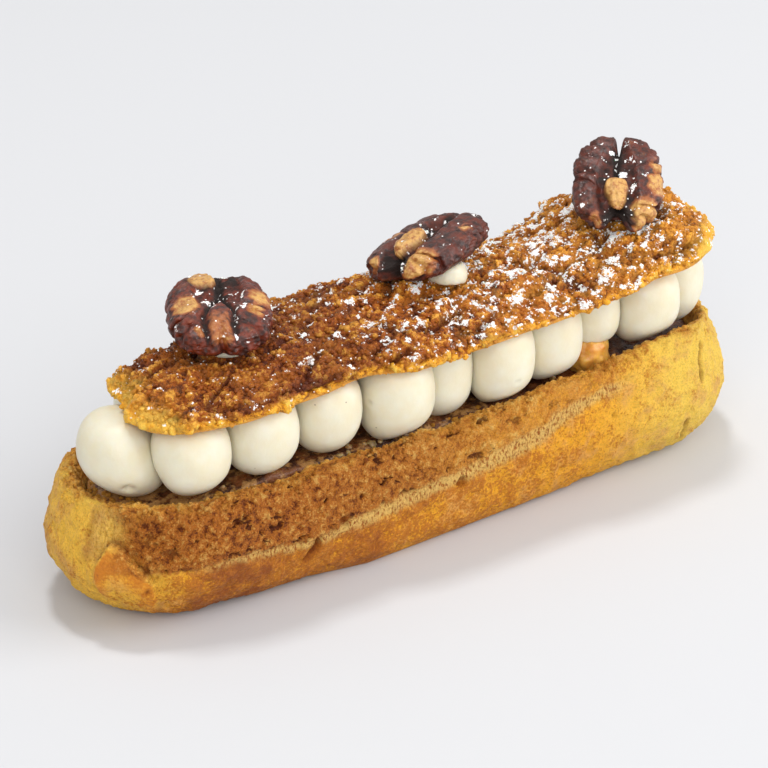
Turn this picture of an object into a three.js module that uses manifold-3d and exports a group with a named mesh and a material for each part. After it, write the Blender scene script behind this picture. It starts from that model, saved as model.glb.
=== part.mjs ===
// A split choux eclair: a baked base filled with fruit compote, two rows of piped cream drops,
// a crackled lid and three pecan halves, each stuck down with a dab of cream.
// Millimetres, +Z up. +X runs along the eclair from its left end to its right end, -Y is the front,
// and the origin is the middle of the base's footprint, on the table.
import * as THREE from "three";
import { mergeVertices } from "three/addons/utils/BufferGeometryUtils.js";
import Module from "manifold-3d";

const wasm = await Module();
wasm.setup();

// Driving dimensions
const LENGTH = 142;
const WIDTH = 40;
const GAP = 0.35;

// Base: a rounded trough around a straight spine
const BASE_RADIUS = WIDTH / 2;
const BASE_SPINE = LENGTH / 2 - BASE_RADIUS;
const FOOT_RADIUS = 10;
const FOOT_SPREAD = 2.4;
const BULGE_HEIGHT = 11;
const RIM_LEVEL = 23.4;
const RIM_RIGHT_RISE = 2.6;
const RIM_MIDDLE = 16.1;
const RIM_THICKNESS = 3.2;
const WALL = 6.6;
const TROUGH_FLOOR = 13;
const WAIST = 0.6;
const END_LIFT = 2;
const SLAB_STEP = 0.3;
const SLAB_LOW = 11;
const SLAB_CLIMB = 10;
const SLAB_LEFT_RISE = 1.8;
const CORNER_CUT = 1.4;
const LEFT_BELLY = 0.7;
const LEFT_TUCK = 0.8;
const RIGHT_TUCK = 2.2;
// The rim along the front: its height by the place along the eclair, pressed down where drops hang over it
const FRONT_RIM = [
  [-60, 24],
  [-48, 23.3],
  [-42, 23.2],
  [-36, 22.1],
  [-29, 23.1],
  [-21, 23.2],
  [-13, 22.2],
  [-8, 22.8],
  [-1, 21.9],
  [5, 23.3],
  [11, 23],
  [21, 24.4],
  [32, 24.4],
  [38, 25.8],
  [46, 26.2],
  [52, 27],
  [58, 25.8],
  [66, 24.4],
];

// Filling and cream
const FILL_LEVEL = 21.2;
const FILL_SLOPE = 0.01;
const FILL_LUMP = 0.9;
const FILL_HEAP = 1.4;
const DROP_HEIGHT = 17.5;
const DROP_SOFTNESS = 9;
const DROP_CROWN = 3;
const DROP_FOOT = 2.1;
const END_TILT = 0.42;
const END_TILT_LEVEL = 28;

// Lid: the upper slice, leaning back a little and torn off at its left end
const LID_LEVEL = 37;
const LID_SLOPE = 0.037;
const LID_LEAN = -0.04;
const LID_RADIUS = 17.8;
const LID_LEFT = -46;
const LID_RIGHT = 47.4;
const LID_EDGE = 2.6;
const LID_DOME = 3.2;
const LID_DROOP = 1.4;
const LID_OVERHANG = 1.2;
const NOSE_DOME = 5.8;
// The torn left end: how far the edge lies from the spine's end, by the angle round that end
const TORN_END = [
  [90, 12.6],
  [110, 11.6],
  [124, 11.5],
  [144, 12.9],
  [154, 11.4],
  [163, 9.8],
  [178, 11.2],
  [191, 13.4],
  [201, 14.2],
  [216, 16.6],
  [244, 16.8],
  [270, 17.3],
];

// Pecan halves
const PECAN_LENGTH = 25;
const PECAN_WIDTH = 18.4;
const PECAN_BELOW = 3.5;
const PECAN_ABOVE = 4.4;

// Facets
const STRAIGHT_STEPS = 32;
const CAP_STEPS = 14;
const DROP_SECTORS = 14;
const DROP_BANDS = 8;

const MATERIALS = {
  crust: new THREE.MeshStandardMaterial({ color: 0xc98a3a, roughness: 0.75, metalness: 0 }),
  crackle: new THREE.MeshStandardMaterial({ color: 0xa8642a, roughness: 0.85, metalness: 0 }),
  compote: new THREE.MeshStandardMaterial({ color: 0x6a3f22, roughness: 0.2, metalness: 0 }),
  fruit: new THREE.MeshStandardMaterial({ color: 0xd9a441, roughness: 0.3, metalness: 0 }),
  cream: new THREE.MeshStandardMaterial({ color: 0xf3ecd0, roughness: 0.45, metalness: 0 }),
  pecan: new THREE.MeshStandardMaterial({ color: 0x6b3420, roughness: 0.5, metalness: 0 }),
};

function smoothstep(from, to, value) {
  const t = Math.min(1, Math.max(0, (value - from) / (to - from)));
  return t * t * (3 - 2 * t);
}

function mix(a, b, t) {
  return a + (b - a) * t;
}

// A fixed pseudo-random value from 0 to 1 for each point of a whole-number lattice
function lattice(i, j, k) {
  const s = Math.sin(i * 127.1 + j * 311.7 + k * 74.7) * 43758.5453;
  return s - Math.floor(s);
}

// Smooth noise from -1 to 1, with lumps of about one unit
function noise(x, y, z) {
  const [i, j, k] = [Math.floor(x), Math.floor(y), Math.floor(z)];
  const [u, v, w] = [x - i, y - j, z - k].map((t) => t * t * (3 - 2 * t));
  const edge = (b, c) => mix(lattice(i, j + b, k + c), lattice(i + 1, j + b, k + c), u);
  const face = (c) => mix(edge(0, c), edge(1, c), v);
  return 2 * mix(face(0), face(1), w) - 1;
}

// Crags of a given lump size: a coarse layer and one of half its size
function crags(x, y, z, size) {
  const coarse = noise(x / size, y / size, z / size);
  const fine = noise((2 * x) / size + 31, (2 * y) / size + 17, (2 * z) / size + 5);
  return 0.65 * coarse + 0.35 * fine;
}

// The stations round a straight spine, anticlockwise from above: each has its point on the spine and
// its outward way
function stationsRound(left, right) {
  const step = (right - left) / STRAIGHT_STEPS;
  const stations = [];
  const addCap = (cx, from) => {
    for (let i = 0; i < CAP_STEPS; i += 1) {
      const angle = from + (Math.PI * i) / CAP_STEPS;
      stations.push({ cx, nx: Math.cos(angle), ny: Math.sin(angle) });
    }
  };
  addCap(right, -Math.PI / 2);
  for (let i = STRAIGHT_STEPS; i > 0; i -= 1) stations.push({ cx: left + step * i, nx: 0, ny: 1 });
  addCap(left, Math.PI / 2);
  for (let i = 0; i < STRAIGHT_STEPS; i += 1) stations.push({ cx: left + step * i, nx: 0, ny: -1 });
  return stations;
}

// A closed skin over rings of points. The first and last rings lie on the spine, where the two sides meet.
function skinOver(rings) {
  const count = rings[0].length;
  const positions = rings.flat().flatMap((p) => [p.x, p.y, p.z]);
  const index = [];
  for (let r = 0; r + 1 < rings.length; r += 1) {
    for (let s = 0; s < count; s += 1) {
      const next = (s + 1) % count;
      const [a, b] = [r * count + s, r * count + next];
      const [c, d] = [(r + 1) * count + next, (r + 1) * count + s];
      index.push(a, b, c, a, c, d);
    }
  }
  return closedGeometry(positions, index);
}

// Merges shared corners and drops the triangles that have no area left
function closedGeometry(positions, index) {
  const loose = new THREE.BufferGeometry();
  loose.setAttribute("position", new THREE.Float32BufferAttribute(positions, 3));
  loose.setIndex(index);
  const merged = mergeVertices(loose, 1e-3);
  const source = merged.index.array;
  const kept = [];
  for (let i = 0; i < source.length; i += 3) {
    const [a, b, c] = [source[i], source[i + 1], source[i + 2]];
    if (a !== b && b !== c && c !== a) kept.push(a, b, c);
  }
  merged.setIndex(kept);
  merged.computeVertexNormals();
  return merged;
}

// A closed skin round a centre, at the distance that reach gives for each direction
function skinRound(reach, sectors, bands) {
  const rings = [];
  for (let b = 0; b <= bands; b += 1) {
    const polar = Math.PI * (b / bands);
    const ring = [];
    for (let s = 0; s < sectors; s += 1) {
      const turn = (2 * Math.PI * s) / sectors;
      const around = b === 0 || b === bands ? 0 : Math.sin(polar);
      const way = new THREE.Vector3(around * Math.cos(turn), around * Math.sin(turn), -Math.cos(polar));
      ring.push(way.multiplyScalar(reach(way)));
    }
    rings.push(ring);
  }
  return skinOver(rings);
}

// Value at a place in a table of pairs, eased from each pair to the next
function easedBetween(table, place) {
  const after = Math.max(1, table.findIndex(([at]) => at >= place));
  const [at0, value0] = table[after - 1];
  const [at1, value1] = table[after];
  return mix(value0, value1, smoothstep(at0, at1, place));
}

// Height of the base's cut rim: even along the back, rising a little to the right, and as its table says
// in front
function rimHeight(x, ny) {
  const back = RIM_LEVEL + RIM_RIGHT_RISE * smoothstep(-5, 50, x) * smoothstep(66, 54, x);
  const [first, last] = [FRONT_RIM[0][0], FRONT_RIM[FRONT_RIM.length - 1][0]];
  const front = easedBetween(FRONT_RIM, Math.min(last, Math.max(first, x)));
  return mix(back, front, smoothstep(0, 0.7, -ny));
}

// How far the upper wall is tucked in at the two ends, most at the right end's front corner
function endTuck(nx, ny) {
  if (nx < 0) return LEFT_TUCK * nx ** 2;
  return RIGHT_TUCK * smoothstep(0.2, 0.65, nx) * smoothstep(-0.1, 0.35, -ny);
}

// Level of the compote, heaped a little left of the middle
function fillHeight(x) {
  return FILL_LEVEL + FILL_SLOPE * x + FILL_HEAP * Math.exp(-(((x + 34) / 17) ** 2));
}

// Underside of the lid, a flat cut that climbs a little to the right and drops to the back
function lidUnderside(x, y) {
  return LID_LEVEL + LID_SLOPE * x + LID_LEAN * y;
}

// Lower edge of the crackled slab that is baked onto the front wall: lowest left of the middle,
// climbing to the right
function slabEdge(x) {
  const climb = SLAB_CLIMB * Math.min(1, Math.max(0, (x + 30) / 64));
  return SLAB_LOW + climb + SLAB_LEFT_RISE * smoothstep(-30, -50, x);
}

// Outer face of the base's wall: how far it stands from the spine at a height
function wallRadius(z, rim, foot) {
  if (z < BULGE_HEIGHT) {
    const below = 1 - z / BULGE_HEIGHT;
    return foot + (BASE_RADIUS - foot) * (1 - below ** 1.6) ** (1 / 1.6);
  }
  const above = (z - BULGE_HEIGHT) / (rim - BULGE_HEIGHT);
  return BASE_RADIUS - (BASE_RADIUS - RIM_MIDDLE - RIM_THICKNESS / 2) * above ** 2;
}

// The base's section at one place: distance from the spine and height, from the foot's middle up and into
// the trough. Crag is how deep the crust's relief may cut there, slab whether the point lies on the crackled
// slab, and tuck how much of the ends' tuck it takes.
function baseSection(rim, edge, foot) {
  const tuckAt = (z) => smoothstep(BULGE_HEIGHT, rim, z);
  const wall = (z, crag, slab = 0) => ({ rho: wallRadius(z, rim, foot), z, crag, slab, tuck: tuckAt(z) });
  const low = 3.3;
  const high = rim - 0.7;
  const insideWall = BASE_RADIUS - WALL;
  return [
    { rho: 0, z: 0 },
    { rho: foot, z: 0 },
    wall(1, 0),
    wall(low, 0.2),
    wall(mix(low, edge, 0.36), 0.4),
    wall(mix(low, edge, 0.68), 0.4),
    wall(edge - 0.6, 0.4),
    wall(edge + 0.6, 0.7, 1),
    wall(mix(edge, high, 0.45), 0.8, 1),
    wall(mix(edge, high, 0.75), 0.8, 1),
    wall(high, 0.6, 1),
    { rho: RIM_MIDDLE, z: rim, crag: 0.4, tuck: 0.5 },
    { rho: RIM_MIDDLE - RIM_THICKNESS / 2, z: rim - 0.8, tuck: 0.27 },
    { rho: insideWall, z: rim - 3.2 },
    { rho: insideWall - 0.9, z: TROUGH_FLOOR + 3 },
    { rho: insideWall - 3, z: TROUGH_FLOOR },
    { rho: 0, z: TROUGH_FLOOR },
  ];
}

// How far the walls are drawn in along the middle
function waistAt(cx) {
  return WAIST * Math.exp(-(((cx + 6) / 30) ** 2));
}

// How much of the crackled slab covers the wall here: all of the front, ending just round the left corner
function slabCover(x, ny) {
  return smoothstep(0.45, 0.75, -ny) * smoothstep(50, 34, x);
}

// Relief only cuts in from the base's full size, and fades out at its tips
function makeBase() {
  const stations = stationsRound(-BASE_SPINE, BASE_SPINE);
  const rings = baseSection(RIM_LEVEL, BULGE_HEIGHT, FOOT_RADIUS).map(() => []);
  for (const { cx, nx, ny } of stations) {
    const tip = 1 - Math.abs(nx) ** 6;
    const rim = rimHeight(cx + nx * RIM_MIDDLE, ny);
    const cover = slabCover(cx, ny);
    const waist = waistAt(cx) * tip;
    const foot = FOOT_RADIUS + FOOT_SPREAD * ny ** 2 * Math.exp(-(((cx - 8) / 40) ** 2));
    baseSection(rim, slabEdge(cx), foot).forEach(({ rho, z, crag = 0, slab = 0, tuck = 0 }, row) => {
      const relief = crag * (crags(cx + nx * rho, ny * rho, z, 5) - 0.6);
      const sunk = crag > 0 ? SLAB_STEP * cover * (slab - 1) : 0;
      const low = Math.max(0, 1 - z / BULGE_HEIGHT);
      const corner = nx < 0 && ny < 0 ? CORNER_CUT * (2 * nx * ny) ** 2 * low : 0;
      const bulging = nx < 0 && crag > 0 ? smoothstep(10, 0, Math.abs(z - BULGE_HEIGHT)) : 0;
      const shaped = rho + LEFT_BELLY * bulging * nx ** 2 - tuck * endTuck(nx, ny);
      const out = shaped + (relief + sunk) * tip - (rho > foot ? waist + corner : 0);
      const lift = z > 0 ? END_LIFT * nx ** 2 * low * (rho / BASE_RADIUS) : 0;
      const ragged = rho > 15 && z > rim - 1.5 ? 0.5 * crags(cx + nx * rho, ny * rho, 40, 4) : 0;
      rings[row].push(new THREE.Vector3(cx + nx * out, ny * out, z + lift + ragged));
    });
  }
  return skinOver(rings);
}

// Compote in the trough, with a lumpy top just under the rim
function makeFilling() {
  const wallTop = BASE_RADIUS - WALL - GAP;
  const stations = stationsRound(-BASE_SPINE, BASE_SPINE);
  const section = [
    { rho: 0, z: () => TROUGH_FLOOR + GAP },
    { rho: wallTop - 3.2, z: () => TROUGH_FLOOR + GAP },
    { rho: wallTop - 1.3, z: () => TROUGH_FLOOR + 3 },
    { rho: wallTop - 0.4, z: (x) => fillHeight(x) - 1.5 },
    { rho: wallTop - 0.6, z: (x) => fillHeight(x) - 0.4 },
    { rho: wallTop - 2, z: (x) => fillHeight(x) },
    { rho: 8, z: (x) => fillHeight(x) },
    { rho: 0, z: (x) => fillHeight(x) },
  ];
  const rings = section.map(({ rho, z }, row) =>
    stations.map(({ cx, nx, ny }) => {
      const out = rho > 9 ? rho - waistAt(cx) : rho;
      const [x, y] = [cx + nx * out, ny * out];
      const lump = row > 2 ? FILL_LUMP * (0.5 * crags(x, y, 3, 6) - 0.5) : 0;
      return new THREE.Vector3(x, y, z(x) + lump);
    }),
  );
  return skinOver(rings);
}

// Piped drops: place along and across the eclair, radius and how low they hang. The front row is as uneven as
// it was piped, and the end drop swells up where the lid is torn off.
const END_DROP = {
  name: "cream_end", x: -57.2, y: -0.8, r: 8.9, low: 20.5, foot: 1.8, roofX: -56.2, roofLean: -0.22,
};
const FRONT_DROPS = [
  { x: -50.2, y: -8.9, r: 7.3, low: 22.3 },
  { x: -36.6, y: -9.4, r: 7, low: 22.2 },
  { x: -22.9, y: -9.3, r: 6.5, low: 21.9 },
  { x: -9.2, y: -10.9, r: 7, low: 19.5 },
  { x: 2.8, y: -7.8, r: 6.2, low: 20.4 },
  { x: 13.3, y: -10.9, r: 6.6, low: 20.2 },
  { x: 25.2, y: -9.6, r: 6.4, low: 21.6 },
  { x: 36.6, y: -7.2, r: 6.1, low: 25.4 },
  { x: 47.4, y: -9.4, r: 6.8, low: 22.6 },
  { x: 57.4, y: -4.6, r: 6.4, low: 22.7 },
];
const BACK_START = -45;
const BACK_PITCH = 11.9;
const BACK_COUNT = 9;

function pipedDrops() {
  const twoDigits = (i) => String(i + 1).padStart(2, "0");
  const front = FRONT_DROPS.map((drop, i) => ({ ...drop, name: `cream_front_${twoDigits(i)}` }));
  const back = Array.from({ length: BACK_COUNT }, (_, i) => ({
    name: `cream_back_${twoDigits(i)}`,
    x: BACK_START + BACK_PITCH * i + 0.9 * Math.sin(2.3 * i),
    y: 8.9 + 0.9 * Math.sin(1.7 * i + 1),
    r: 7 + 0.5 * Math.sin(2.9 * i + 2),
  }));
  return [END_DROP, ...front, ...back];
}

// Half-spaces that hold a drop in: its neighbours, the lid above and the rim beside it.
// Each is a way out of the drop's centre and how far the drop may reach along it.
function holdersOf(drop, centre, drops) {
  const holders = [];
  for (const other of drops) {
    const between = new THREE.Vector3(other.x - drop.x, other.y - drop.y, 0);
    const apart = between.length();
    if (other === drop || apart > drop.r + other.r + 2) continue;
    const reach = (apart * drop.r) / (drop.r + other.r) - GAP / 2;
    const pair = [drop.name, other.name];
    const tilted = pair.includes("cream_end") && pair.includes("cream_front_01");
    const lean = tilted ? END_TILT * (drop.name === "cream_end" ? 1 : -1) : 0;
    const way = between.normalize().setZ(lean).normalize();
    const level = Math.hypot(way.x, way.y);
    holders.push({ way, far: reach * level + (END_TILT_LEVEL - centre.z) * way.z });
  }
  const { roofX = drop.x, roofLean = LID_SLOPE } = drop;
  const up = new THREE.Vector3(-roofLean, -LID_LEAN, 1).normalize();
  const roof = new THREE.Vector3(roofX, drop.y, lidUnderside(roofX, drop.y) - GAP);
  holders.push({ way: up, far: roof.sub(centre).dot(up) });
  const spineX = Math.min(BASE_SPINE, Math.max(-BASE_SPINE, drop.x));
  const outward = new THREE.Vector3(drop.x - spineX, drop.y, 0).normalize();
  const edge = RIM_MIDDLE - RIM_THICKNESS / 2 - 0.27 * endTuck(outward.x, outward.y);
  const rimEdge = outward.clone().multiplyScalar(edge).add(new THREE.Vector3(spineX, 0, 0));
  rimEdge.z = rimHeight(rimEdge.x, outward.y) + 0.4;
  const overRim = outward.clone().multiplyScalar(0.62).add(new THREE.Vector3(0, 0, -0.78)).normalize();
  holders.push({ way: overRim, far: rimEdge.sub(centre).dot(overRim) - GAP });
  return holders;
}

// A drop is a soft ball, full above and egg-shaped below, squeezed by its holders: a smooth minimum of all
// the distances it may reach, swollen all round by a margin
function makeDrop(drop, drops, margin) {
  const middle = (fillHeight(drop.x) + lidUnderside(drop.x, drop.y)) / 2;
  const centre = new THREE.Vector3(drop.x, drop.y, middle);
  const holders = holdersOf(drop, centre, drops);
  const nearby = [drop.x - drop.r / 2, drop.x, drop.x + drop.r / 2].map(fillHeight);
  const { low = Math.max(...nearby) + GAP, foot = DROP_FOOT } = drop;
  const reach = (way) => {
    const power = way.z > 0 ? DROP_CROWN : foot;
    const tall = way.z > 0 ? DROP_HEIGHT / 2 : centre.z - low;
    const ball = (Math.hypot(way.x, way.y) / drop.r) ** power + (Math.abs(way.z) / tall) ** power;
    let sum = ball ** (DROP_SOFTNESS / power);
    for (const { way: out, far } of holders) {
      const towards = way.dot(out);
      if (towards > 0) sum += (towards / far) ** DROP_SOFTNESS;
    }
    return sum ** (-1 / DROP_SOFTNESS) + margin;
  };
  const geometry = skinRound(reach, DROP_SECTORS, DROP_BANDS);
  return geometry.translate(centre.x, centre.y, centre.z);
}

// How far the lid's edge lies from its spine, going round it
function lidReach(cx, nx, ny) {
  const ragged = 0.7 * crags(cx + nx * 9, ny * 9, 60, 4.5);
  const frontNick = 1.3 * Math.exp(-(((cx + 19) / 6) ** 2));
  const backBite = 1.5 * Math.exp(-(((cx - 31) / 8) ** 2));
  const backNick = 1.4 * smoothstep(40, 20, cx) + backBite + 3.9 * smoothstep(-22, -45, cx);
  const overhang = LID_OVERHANG * smoothstep(-16, -8, cx);
  if (cx > LID_LEFT || nx > 0) {
    const side = ny < 0 ? overhang * -ny - frontNick : -backNick;
    return LID_RADIUS + ragged + side;
  }
  const angle = THREE.MathUtils.radToDeg(Math.atan2(ny, nx) + (ny < 0 ? 2 * Math.PI : 0));
  const after = Math.max(1, TORN_END.findIndex(([a]) => a >= angle));
  const [a0, r0] = TORN_END[after - 1];
  const [a1, r1] = TORN_END[after];
  return mix(r0, r1, (angle - a0) / (a1 - a0)) + 0.5 * ragged;
}

// How far the lid's front edge hangs down, over the middle of its length
function lidDroop(cx, ny, share) {
  const along = smoothstep(-22, -6, cx) * smoothstep(46, 22, cx);
  return LID_DROOP * along * Math.max(0, -ny) * smoothstep(0.7, 1, share);
}

// Height of the lid's top over any point of the table inside its edge: low over most of its length,
// with a fat nose at right
function lidTop(x, y) {
  const cx = Math.min(LID_RIGHT, Math.max(LID_LEFT, x));
  const rho = Math.hypot(x - cx, y);
  const [nx, ny] = rho > 1e-6 ? [(x - cx) / rho, y / rho] : [0, 1];
  const share = Math.min(1, rho / lidReach(cx, nx, ny));
  const nose = smoothstep(36, 47, x);
  const dome = mix(LID_DOME, NOSE_DOME, nose) * (1 - share ** mix(2.2, 4.5, nose));
  const sag = 0.9 * Math.exp(-(((x - 25) / 7) ** 2));
  const backSag = smoothstep(2, 12, y) * Math.exp(-(((x - 30) / 8) ** 2));
  const relief = 0.7 * crags(x, y, 80, 5) * (1 - 0.6 * share);
  return lidUnderside(x, y) + LID_EDGE + dome - sag - backSag + relief - lidDroop(cx, ny, share);
}

function makeLid() {
  const stations = stationsRound(LID_LEFT, LID_RIGHT);
  const inset = 0.9;
  const under = [0, 0.7, 0.85, 1];
  const over = [1, 0.97, 0.9, 0.78, 0.64, 0.5, 0.36, 0.2, 0];
  const lowerRings = under.map((share) =>
    stations.map(({ cx, nx, ny }) => {
      const rho = share * (lidReach(cx, nx, ny) - inset);
      const [x, y] = [cx + nx * rho, ny * rho];
      return new THREE.Vector3(x, y, lidUnderside(x, y) - lidDroop(cx, ny, share));
    }),
  );
  const upperRings = over.map((share) =>
    stations.map(({ cx, nx, ny }) => {
      const rho = share * lidReach(cx, nx, ny);
      const [x, y] = [cx + nx * rho, ny * rho];
      const edge = lidUnderside(x, y) - lidDroop(cx, ny, 1) + 0.45 * LID_EDGE;
      const z = share === 1 ? edge : lidTop(x, y);
      return new THREE.Vector3(x, y, z);
    }),
  );
  return skinOver([...lowerRings, ...upperRings]);
}

// A pecan half, lying on its round back: two rolled lobes beside a deep valley, a notch at one end
// and a nub at the other
function pecanReach(way, seed, notched) {
  const height = way.z > 0 ? PECAN_ABOVE : PECAN_BELOW;
  const power = way.z > 0 ? 2 : 2.6;
  const flat = Math.hypot((2 * way.x) / PECAN_LENGTH, (2 * way.y) / PECAN_WIDTH);
  const oval = (flat ** power + (Math.abs(way.z) / height) ** power) ** (-1 / power);
  const facingUp = smoothstep(0, 0.5, way.z);
  const valley = 0.42 * facingUp * Math.exp(-((way.y / 0.3) ** 2));
  const notch = notched * smoothstep(0.7, 1, way.x) * Math.exp(-((way.y / 0.2) ** 2));
  const nub = 0.26 * smoothstep(0.55, 0.85, -way.x) * Math.exp(-((way.y / 0.22) ** 2)) * facingUp;
  const turn = Math.atan2(way.y, way.x);
  const folds = 0.045 * Math.cos(9 * turn + seed) + 0.03 * Math.sin(5 * turn - 2 * seed);
  const level = 1 - Math.abs(way.z) * 0.6;
  return oval * (1 - valley - notch + nub + folds * level);
}

// One pecan turned into place over the lid, swollen all round by a margin
function turnedPecan({ turn, pitch, roll, seed, notch, x, y, scale }, margin) {
  const geometry = skinRound((way) => scale * pecanReach(way, seed, notch) + margin, 24, 14);
  return geometry.rotateX(roll).rotateY(pitch).rotateZ(turn).translate(x, y, 0);
}

// How far a turned pecan has to be raised to sit clear of the lid
function restingLift(geometry) {
  const places = geometry.getAttribute("position");
  let lift = 0;
  for (let i = 0; i < places.count; i += 1) {
    lift = Math.max(lift, lidTop(places.getX(i), places.getY(i)) - places.getZ(i));
  }
  return lift + 2 * GAP;
}

function solidOf(geometry) {
  return new wasm.Manifold(
    new wasm.Mesh({
      numProp: 3,
      vertProperties: new Float32Array(geometry.getAttribute("position").array),
      triVerts: new Uint32Array(geometry.index.array),
    }),
  );
}

function geometryOf(solid) {
  const { numProp, vertProperties, triVerts } = solid.getMesh();
  const positions = [];
  for (let i = 0; i < vertProperties.length; i += numProp) {
    positions.push(...vertProperties.subarray(i, i + 3));
  }
  return closedGeometry(positions, Array.from(triVerts));
}

// A dab of cream squeezed between the lid and a pecan, trimmed a gap short of both
function makeDab({ x, y, dab }, lid, swollenPecan) {
  const { across, high, dx, dy } = dab;
  const ball = (way) => 1 / Math.hypot(way.x / across, way.y / across, way.z / high);
  const middle = lidTop(x + dx, y + dy) + 0.35 * high;
  const blob = skinRound(ball, 14, 7).translate(x + dx, y + dy, middle);
  const trimmed = solidOf(blob)
    .subtract(solidOf(lid).translate([0, 0, GAP]))
    .subtract(solidOf(swollenPecan));
  const largest = trimmed.decompose().sort((a, b) => b.volume() - a.volume())[0];
  return geometryOf(largest);
}

const degrees = THREE.MathUtils.degToRad;
const PECANS = [
  {
    x: -36, y: 3.4, turn: degrees(-118), pitch: degrees(4), roll: degrees(0),
    seed: 0.4, scale: 1, notch: 0.08,
    dab: { across: 7, high: 2.2, dx: 0.3, dy: -2.4 },
  },
  {
    x: 7.8, y: 2.6, turn: degrees(18), pitch: degrees(-6), roll: degrees(-15),
    seed: 2.1, scale: 0.97, notch: 0.3,
    dab: { across: 3.9, high: 3.4, dx: 0.4, dy: -5.2 },
  },
  {
    x: 46.6, y: -2.2, turn: degrees(51), pitch: degrees(-26), roll: degrees(2),
    seed: 4, scale: 0.87, notch: 0.3,
    dab: { across: 6.2, high: 3.6, dx: 1.5, dy: 2 },
  },
];

// A cube of fruit, soft-edged, sunk in the compote where a gap between two drops shows it
const FRUIT_SIDE = 6.4;
const FRUIT_PLACE = { x: 35, y: -9.2, z: 24, turn: degrees(24) };

function makeFruit(margin) {
  const half = FRUIT_SIDE / 2 + margin;
  const soft = (way) => half / way.toArray().reduce((sum, part) => sum + part ** 6, 0) ** (1 / 6);
  const { x, y, z, turn } = FRUIT_PLACE;
  return skinRound(soft, 12, 6).rotateZ(turn).translate(x, y, z);
}

// Takes room out of a piece for another that presses into it
function without(geometry, pressing) {
  const room = solidOf(pressing);
  const piece = solidOf(geometry);
  if (piece.intersect(room).isEmpty()) return geometry;
  return geometryOf(piece.subtract(room));
}

const eclair = new THREE.Group();

function addPiece(name, geometry, material) {
  const mesh = new THREE.Mesh(geometry, material);
  mesh.name = name;
  eclair.add(mesh);
}

const drops = pipedDrops();
const lid = makeLid();
addPiece("base", makeBase(), MATERIALS.crust);
const pressing = [makeFruit(GAP), ...drops.map((drop) => makeDrop(drop, drops, GAP))];
addPiece("filling", pressing.reduce(without, makeFilling()), MATERIALS.compote);
addPiece("fruit", makeFruit(0), MATERIALS.fruit);
for (const drop of drops) {
  addPiece(drop.name, without(makeDrop(drop, drops, 0), makeFruit(GAP)), MATERIALS.cream);
}
addPiece("lid", lid, MATERIALS.crackle);
PECANS.forEach((place, i) => {
  const pecan = turnedPecan(place, 0);
  const lift = restingLift(pecan);
  const swollen = turnedPecan(place, GAP).translate(0, 0, lift);
  addPiece(`pecan_${i + 1}`, pecan.translate(0, 0, lift), MATERIALS.pecan);
  addPiece(`dab_${i + 1}`, makeDab(place, lid, swollen), MATERIALS.cream);
});

export default eclair;
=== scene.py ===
"""The finish of a filled choux eclair: baked crusts, piped cream, compote, pecan halves and sugar.

Every piece is dressed where its solid stands in the packed model. Lengths in the script are metres.
Values multiplied by MM, and the tables and marks that say so, are in millimetres.
"""
import itertools
import math

import bmesh
import bpy
import numpy as np
from bpy.props import FloatProperty, FloatVectorProperty, IntProperty, PointerProperty
from mathutils import Euler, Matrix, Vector


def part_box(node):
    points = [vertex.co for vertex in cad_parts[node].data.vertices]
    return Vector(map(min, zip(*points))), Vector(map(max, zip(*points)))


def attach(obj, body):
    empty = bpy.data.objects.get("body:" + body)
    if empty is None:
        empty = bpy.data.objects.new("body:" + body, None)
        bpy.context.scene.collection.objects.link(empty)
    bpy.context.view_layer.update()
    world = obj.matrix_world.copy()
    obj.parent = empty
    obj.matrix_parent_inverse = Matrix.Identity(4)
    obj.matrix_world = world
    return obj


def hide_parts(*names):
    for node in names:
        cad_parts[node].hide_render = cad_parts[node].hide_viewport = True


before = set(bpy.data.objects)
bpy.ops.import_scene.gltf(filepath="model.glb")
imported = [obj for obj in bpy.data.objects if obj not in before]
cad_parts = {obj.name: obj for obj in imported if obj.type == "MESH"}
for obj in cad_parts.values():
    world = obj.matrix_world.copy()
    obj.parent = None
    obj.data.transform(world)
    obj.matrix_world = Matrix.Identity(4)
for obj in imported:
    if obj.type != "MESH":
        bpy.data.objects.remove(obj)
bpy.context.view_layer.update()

bl_info = {
    "name": "Filled Eclair",
    "version": (1, 0, 0),
    "blender": (4, 5, 0),
    "location": "View3D > Sidebar > Eclair",
    "description": "Dresses a filled eclair: crusts, cream, compote, pecans, crumbs and sugar",
    "category": "Add Mesh",
}

MM = 0.001

# The base's plan: a straight spine with a half circle round each end, in mm
BASE_LOW, BASE_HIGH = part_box("base")
HALF_WIDTH = (BASE_HIGH.y - BASE_LOW.y) / 2 / MM
SPINE_END = (BASE_HIGH.x - BASE_LOW.x) / 2 / MM - HALF_WIDTH
# The way from the eclair to the camera, seen from above
TO_CAMERA = (-0.574, -0.819)

# The crackled slab on the front wall, in mm: place along the eclair and height of its lower edge
SLAB_EDGE = ((-63, 12.8), (-50, 13.2), (-31, 11), (-15, 13.3), (2, 14.8), (17, 18), (25, 20.2), (44, 22.5))
# The pale band torn open below that edge, in mm: place along the eclair and width of the band
STRETCH_WIDTH = ((-60, 0.5), (-32, 1.2), (-15, 2.2), (2, 2.5), (17, 3.4), (25, 2.1), (34, 1.7), (42, 0.2))
# Splits in the base's crust: width and depth of each, and points along it, in mm
CRACKS = (
    (0.55, 1.7, ((-32.8, -18, 7), (-31.8, -18.3, 7.6), (-30.8, -18.8, 8.9), (-30.9, -19.1, 10.5))),
    (0.42, 1.1, ((55.6, -17.2, 23), (54.6, -18.3, 20.8), (54.7, -18.7, 18.5), (55.1, -18.9, 16.4))),
    (0.42, 1.0, ((52.7, -15.4, 3.5), (52.3, -17.1, 6.1), (51.7, -18.8, 8.9))),
    (0.4, 0.8, ((-62.8, -14.7, 9.3), (-62.4, -15.1, 10.7), (-61.4, -15.9, 12))),
)
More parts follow.
